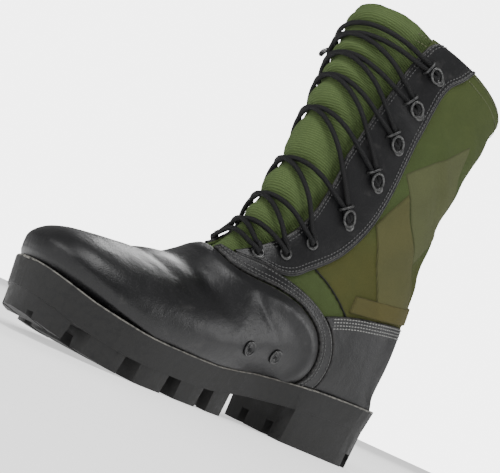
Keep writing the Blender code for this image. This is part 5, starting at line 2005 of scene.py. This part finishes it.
    def build_end(self, name: str, route: Sequence[Row], knot: Spot, tip_finish: Finish) -> None:
        """Make one end of the lace, a free cord with its tip.

        Args:
            name: The CAD node.
            route: Places up the throat, across it and out, in cord diameters from the knot.
            knot: The knot's spot.
            tip_finish: Finish of the tip.
        """
        radius = 0.5 * self.cord_diameter
        rows = []
        for up, across, out in route:
            at = self.shifted(knot, up * self.cord_diameter)
            at = Spot(at.u, at.arc - across * self.cord_diameter)
            height = self.lace_height(at.u, at.arc) + out * self.cord_diameter
            rows.append(self.raised(at.u, at.arc, height))
        line = evenly(through(np.array(rows), 6), 0.0011)
        tube = self.bench.tube(line, radius)
        end = self.bench.piece(f"{name}_cord", tube, self.finishes.cord, "cord", [name])
        tip = line[-12:]
        thick = radius * np.concatenate([[1.02], np.full(len(tip) - 3, 1.16), [1.1, 0.7]])
        sleeve = self.bench.piece(f"{name}_tip", self.bench.tube(tip, thick, 12), tip_finish, "cord")

    def build_knot(self, spot: Spot) -> bpy.types.Object:
        """Make the knot as a cord wound on itself.

        Args:
            spot: Its place.

        Returns:
            The object.
        """
        height = self.lace_height(*spot) + 0.5 * (self.knot_size[2] - self.cord_diameter) + 0.0003
        place = self.frame_at(spot, height)
        turn = np.linspace(0.0, 2 * np.pi, 90)
        reach = 0.5 * self.knot_size[0] - 0.5 * self.cord_diameter
        tall = 0.5 * self.knot_size[1] - 0.5 * self.cord_diameter
        x = reach * (np.sin(turn) + 0.9 * np.sin(2 * turn)) * 0.62
        y = tall * (np.cos(turn) - 0.9 * np.cos(2 * turn)) * 0.62
        z = 0.0016 * np.sin(3 * turn)
        line = np.array([place @ Vector(row) for row in np.column_stack([x, y, z])])
        mesh = self.bench.tube(line, 0.48 * self.cord_diameter, 12)
        return self.bench.piece("lace_knot_cord", mesh, self.finishes.cord, "cord", ["lace_knot"])

    def build_tongue(self) -> None:
        """Make the tongue, puffed up between the strands of the lace, with painted shade beside the strands
        and towards its edges under the eyestays.
        """
        start, end = self.last.throat_start - 0.8, self.last.collar_ring + self.tongue_top
        lace = [evenly(line, 0.004) for line in self.lines]

        def surface(a: Array, b: Array) -> Corners:
            """Points of the tongue at shares across and along.

            Args:
                a: Shares across.
                b: Shares along.

            Returns:
                The points, with the values that they carry.
            """
            u = start + (end - start) * (1 - (1 - b) ** 1.1)
            reach = self.last.throat(u) + self.tongue_margin
            rounded = np.maximum(0.0, (u - end + 3 * self.tongue_top) / (3.02 * self.tongue_top))
            reach = reach * np.sqrt(1 - np.minimum(rounded, 0.999) ** 3)
            arc = reach * (2 * a - 1)
            found = self.last.sample(u, arc / self.last.side_length(u, arc))
            offset = self.tongue_offset(u, arc)
            base = over(found, offset)
            away = np.full(len(a), 1.0)
            for line in lace:
                away = np.minimum(away, distance_to(base, line)[0])
            share = np.abs(arc) / self.last.throat(u)
            fade = (1 - soft_step(0.72, 0.98, share)) * np.clip((u - 10.2) / 1.5, 0.0, 1.0)
            puff = self.puff * (1 - np.exp(-((np.maximum(away - 0.002, 0) / 0.0055) ** 2))) * fade
            height = offset + puff * (0.4 + 0.6 * (1 - soft_step(22.6, 23.2, u)))
            edge = np.exp(-(((reach - np.abs(arc)) / 0.0012) ** 2)) * soft_step(22.3, 22.6, u)
            # Painted shade: darker beside the lace strands and towards the edges under the eyestays; it is
            # carried as the cloth's tone and wear.
            shade = 0.5 * (1 - soft_step(0.002, 0.007, away)) + 0.4 * soft_step(0.75, 1.0, share)
            return skin(found, height, np.column_stack([arc, found[:, 7]]),
                        wear=np.clip(edge + 0.6 * shade, 0.0, 1.0), tone=np.clip(shade, 0.0, 1.0))

        mesh = self.bench.grid(columns=64, rows=190, surface=surface)
        self.bench.piece("tongue_cloth", mesh, self.finishes.tongue, "canvas", ["tongue"],
                         wall=self.tongue_wall)


@dataclass
class Sole:
    """The moulded sole and the insole."""

    last: Last
    bench: Bench
    finishes: Finishes
    round_edge: float = 0.0007
    sharp_angle: float = math.radians(35)
    highlight_bead_inset: float = 0.0009
    highlight_bead_lift: float = 0.0011
    highlight_bead_radius: float = 0.0008

    def build(self) -> None:
        """Dress the sole, its edge and the insole."""
        self.build_outsole()
        self.build_highlight_bead()
        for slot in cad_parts["insole"].material_slots:
            slot.material = self.finishes.lining

    def build_outsole(self) -> None:
        """Round the edges of a copy of the moulded sole."""
        mesh = bmesh.new()
        mesh.from_mesh(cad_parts["outsole"].data)
        bmesh.ops.remove_doubles(mesh, verts=mesh.verts, dist=1e-5)
        bmesh.ops.dissolve_limit(mesh, angle_limit=math.radians(1.5), verts=mesh.verts, edges=mesh.edges)
        # Lighter on sharp edges: partly worn rubber, partly painted highlight.
        wear = mesh.verts.layers.float.new("wear")
        for vert in mesh.verts:
            sharp = sum(edge.calc_face_angle(0.0) > 0.6 for edge in vert.link_edges)
            vert[wear] = min(1.0, 0.3 * sharp)
        piece = self.bench.piece("outsole_rubber", mesh, self.finishes.rubber, "rubber", ["outsole"])
        bevel = piece.modifiers.new("round", "BEVEL")
        bevel.width = self.round_edge
        bevel.segments = 2
        bevel.limit_method = "ANGLE"
        bevel.angle_limit = self.sharp_angle
        piece.data.set_sharp_from_angle(angle=self.sharp_angle)

    def build_highlight_bead(self) -> None:
        """Run a thin bead round the top edge of the sole, coloured light as a painted highlight line."""
        last, inset = self.last, self.highlight_bead_inset
        turn = np.linspace(0.0, 0.5 * np.pi, 50)
        front = last.toe_corner + (last.toe_tip - inset - last.toe_corner) * np.cos(turn)
        middle = np.linspace(last.toe_corner, last.heel_corner, 70)[1:-1]
        rear = last.heel_corner - (last.heel_corner - last.heel_back - inset) * np.sin(turn)
        y = np.concatenate([front, middle, rear])
        height = last.feather(y) + self.highlight_bead_lift
        inner, outer = (np.column_stack([last.outline_x(y, side, inset), y, height]) for side in Side)
        loop = np.vstack([inner, outer[::-1][1:-1], inner[:1]])
        highlight_bead = self.bench.tube(evenly(loop, 0.003), self.highlight_bead_radius, 8, wear=0.7)
        self.bench.piece("sole_edge_highlight_bead", highlight_bead, self.finishes.edge, "rubber")


@dataclass
class Studio:
    """Camera at the photograph's angle, floor and soft light."""

    position: Row = (-0.4989, 0.4969, 0.0250)
    forward: Row = (0.7890, -0.5973, 0.1438)
    roll: float = -24.44
    lens: float = 67.93
    sky: float = 0.27
    backdrop: float = 5.0
    floor_half: float = 6.0
    floor_glow: float = 0.75

    def build_camera(self) -> None:
        """Stand the camera just over the floor."""
        forward = Vector(self.forward).normalized()
        up = (Vector((0, 0, 1)) - forward * forward.z).normalized()
        right = forward.cross(up)
        turn = math.radians(self.roll)
        up = up * math.cos(turn) + right * math.sin(turn)
        right = forward.cross(up)
        data = bpy.data.cameras.new("camera")
        data.lens = self.lens
        data.sensor_width = 36.0
        data.sensor_fit = "HORIZONTAL"
        data.clip_start = 0.01
        camera = bpy.data.objects.new("camera", data)
        camera.matrix_world = Matrix([[right[k], up[k], -forward[k], self.position[k]] for k in range(3)]
                                     + [[0, 0, 0, 1]])
        bpy.context.scene.collection.objects.link(camera)
        bpy.context.scene.camera = camera

    def build_floor(self) -> None:
        """Lay a large pale floor."""
        mesh = bmesh.new()
        bmesh.ops.create_grid(mesh, x_segments=2, y_segments=2, size=self.floor_half)
        data = bpy.data.meshes.new("floor")
        mesh.to_mesh(data)
        mesh.free()
        shade = Shade("floor_paint")
        tint = shade.noise(3.0, 2.0)
        pale = shade.mix(tint, (0.84, 0.84, 0.84), (0.88, 0.88, 0.88))
        data.materials.append(shade.close(Base_Color=pale, Roughness=0.7, Emission_Color=(1.0, 1.0, 1.0),
                                          Emission_Strength=self.floor_glow))
        floor = bpy.data.objects.new("floor", data)
        bpy.context.scene.collection.objects.link(floor)

    def build_lights(self) -> None:
        """Hang large soft lights and a pale sky."""
        plans = (
            ("key", (-0.7, 0.5, 1.5), (0.0, 0.1, 0.12), 0.9, 22.0),
            ("front", (-0.1, 1.5, 0.8), (0.0, 0.15, 0.08), 0.8, 10.0),
            ("fill", (-1.0, -1.3, 0.6), (0.0, 0.05, 0.12), 0.7, 9.0),
            ("back", (1.2, -0.9, 1.2), (0.0, 0.1, 0.15), 0.8, 14.0),
        )
        for name, at, aim, size, power in plans:
            data = bpy.data.lights.new(name, "AREA")
            data.shape = "SQUARE"
            data.size = size
            data.energy = power
            light = bpy.data.objects.new(name, data)
            away = (Vector(at) - Vector(aim)).normalized()
            light.matrix_world = Matrix.Translation(at) @ away.to_track_quat("Z", "Y").to_matrix().to_4x4()
            bpy.context.scene.collection.objects.link(light)
        world = bpy.data.worlds.new("sky")
        bpy.context.scene.world = world
        world.use_nodes = True
        tree = world.node_tree
        tree.nodes["Background"].inputs["Color"].default_value = (1.0, 1.0, 1.0, 1.0)
        path = tree.nodes.new("ShaderNodeLightPath")
        seen = tree.nodes.new("ShaderNodeMapRange")
        seen.inputs["To Min"].default_value = self.sky
        seen.inputs["To Max"].default_value = self.backdrop
        tree.links.new(path.outputs["Is Camera Ray"], seen.inputs["Value"])
        tree.links.new(seen.outputs["Result"], tree.nodes["Background"].inputs["Strength"])


def main() -> None:
    """Build every class in order."""
    logging.basicConfig(level=logging.INFO, format="%(name)s: %(message)s")
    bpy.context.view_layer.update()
    studio = Studio()
    studio.build_camera()
    last = Last()
    finishes = Finishes()
    bench = Bench()
    lacing = Lacing(last, bench, finishes)
    lacing.build_lace()
    lacing.build_fittings()
    lacing.build_tongue()
    panels = Panels(last, bench, finishes)
    panels.build_vamp()
    panels.build_strips()
    panels.build_stays()
    panels.build_counter()
    panels.build_canvas()
    panels.build_webbing()
    Sole(last, bench, finishes).build()
    studio.build_floor()
    studio.build_lights()


if __name__ == "__main__":
    main()
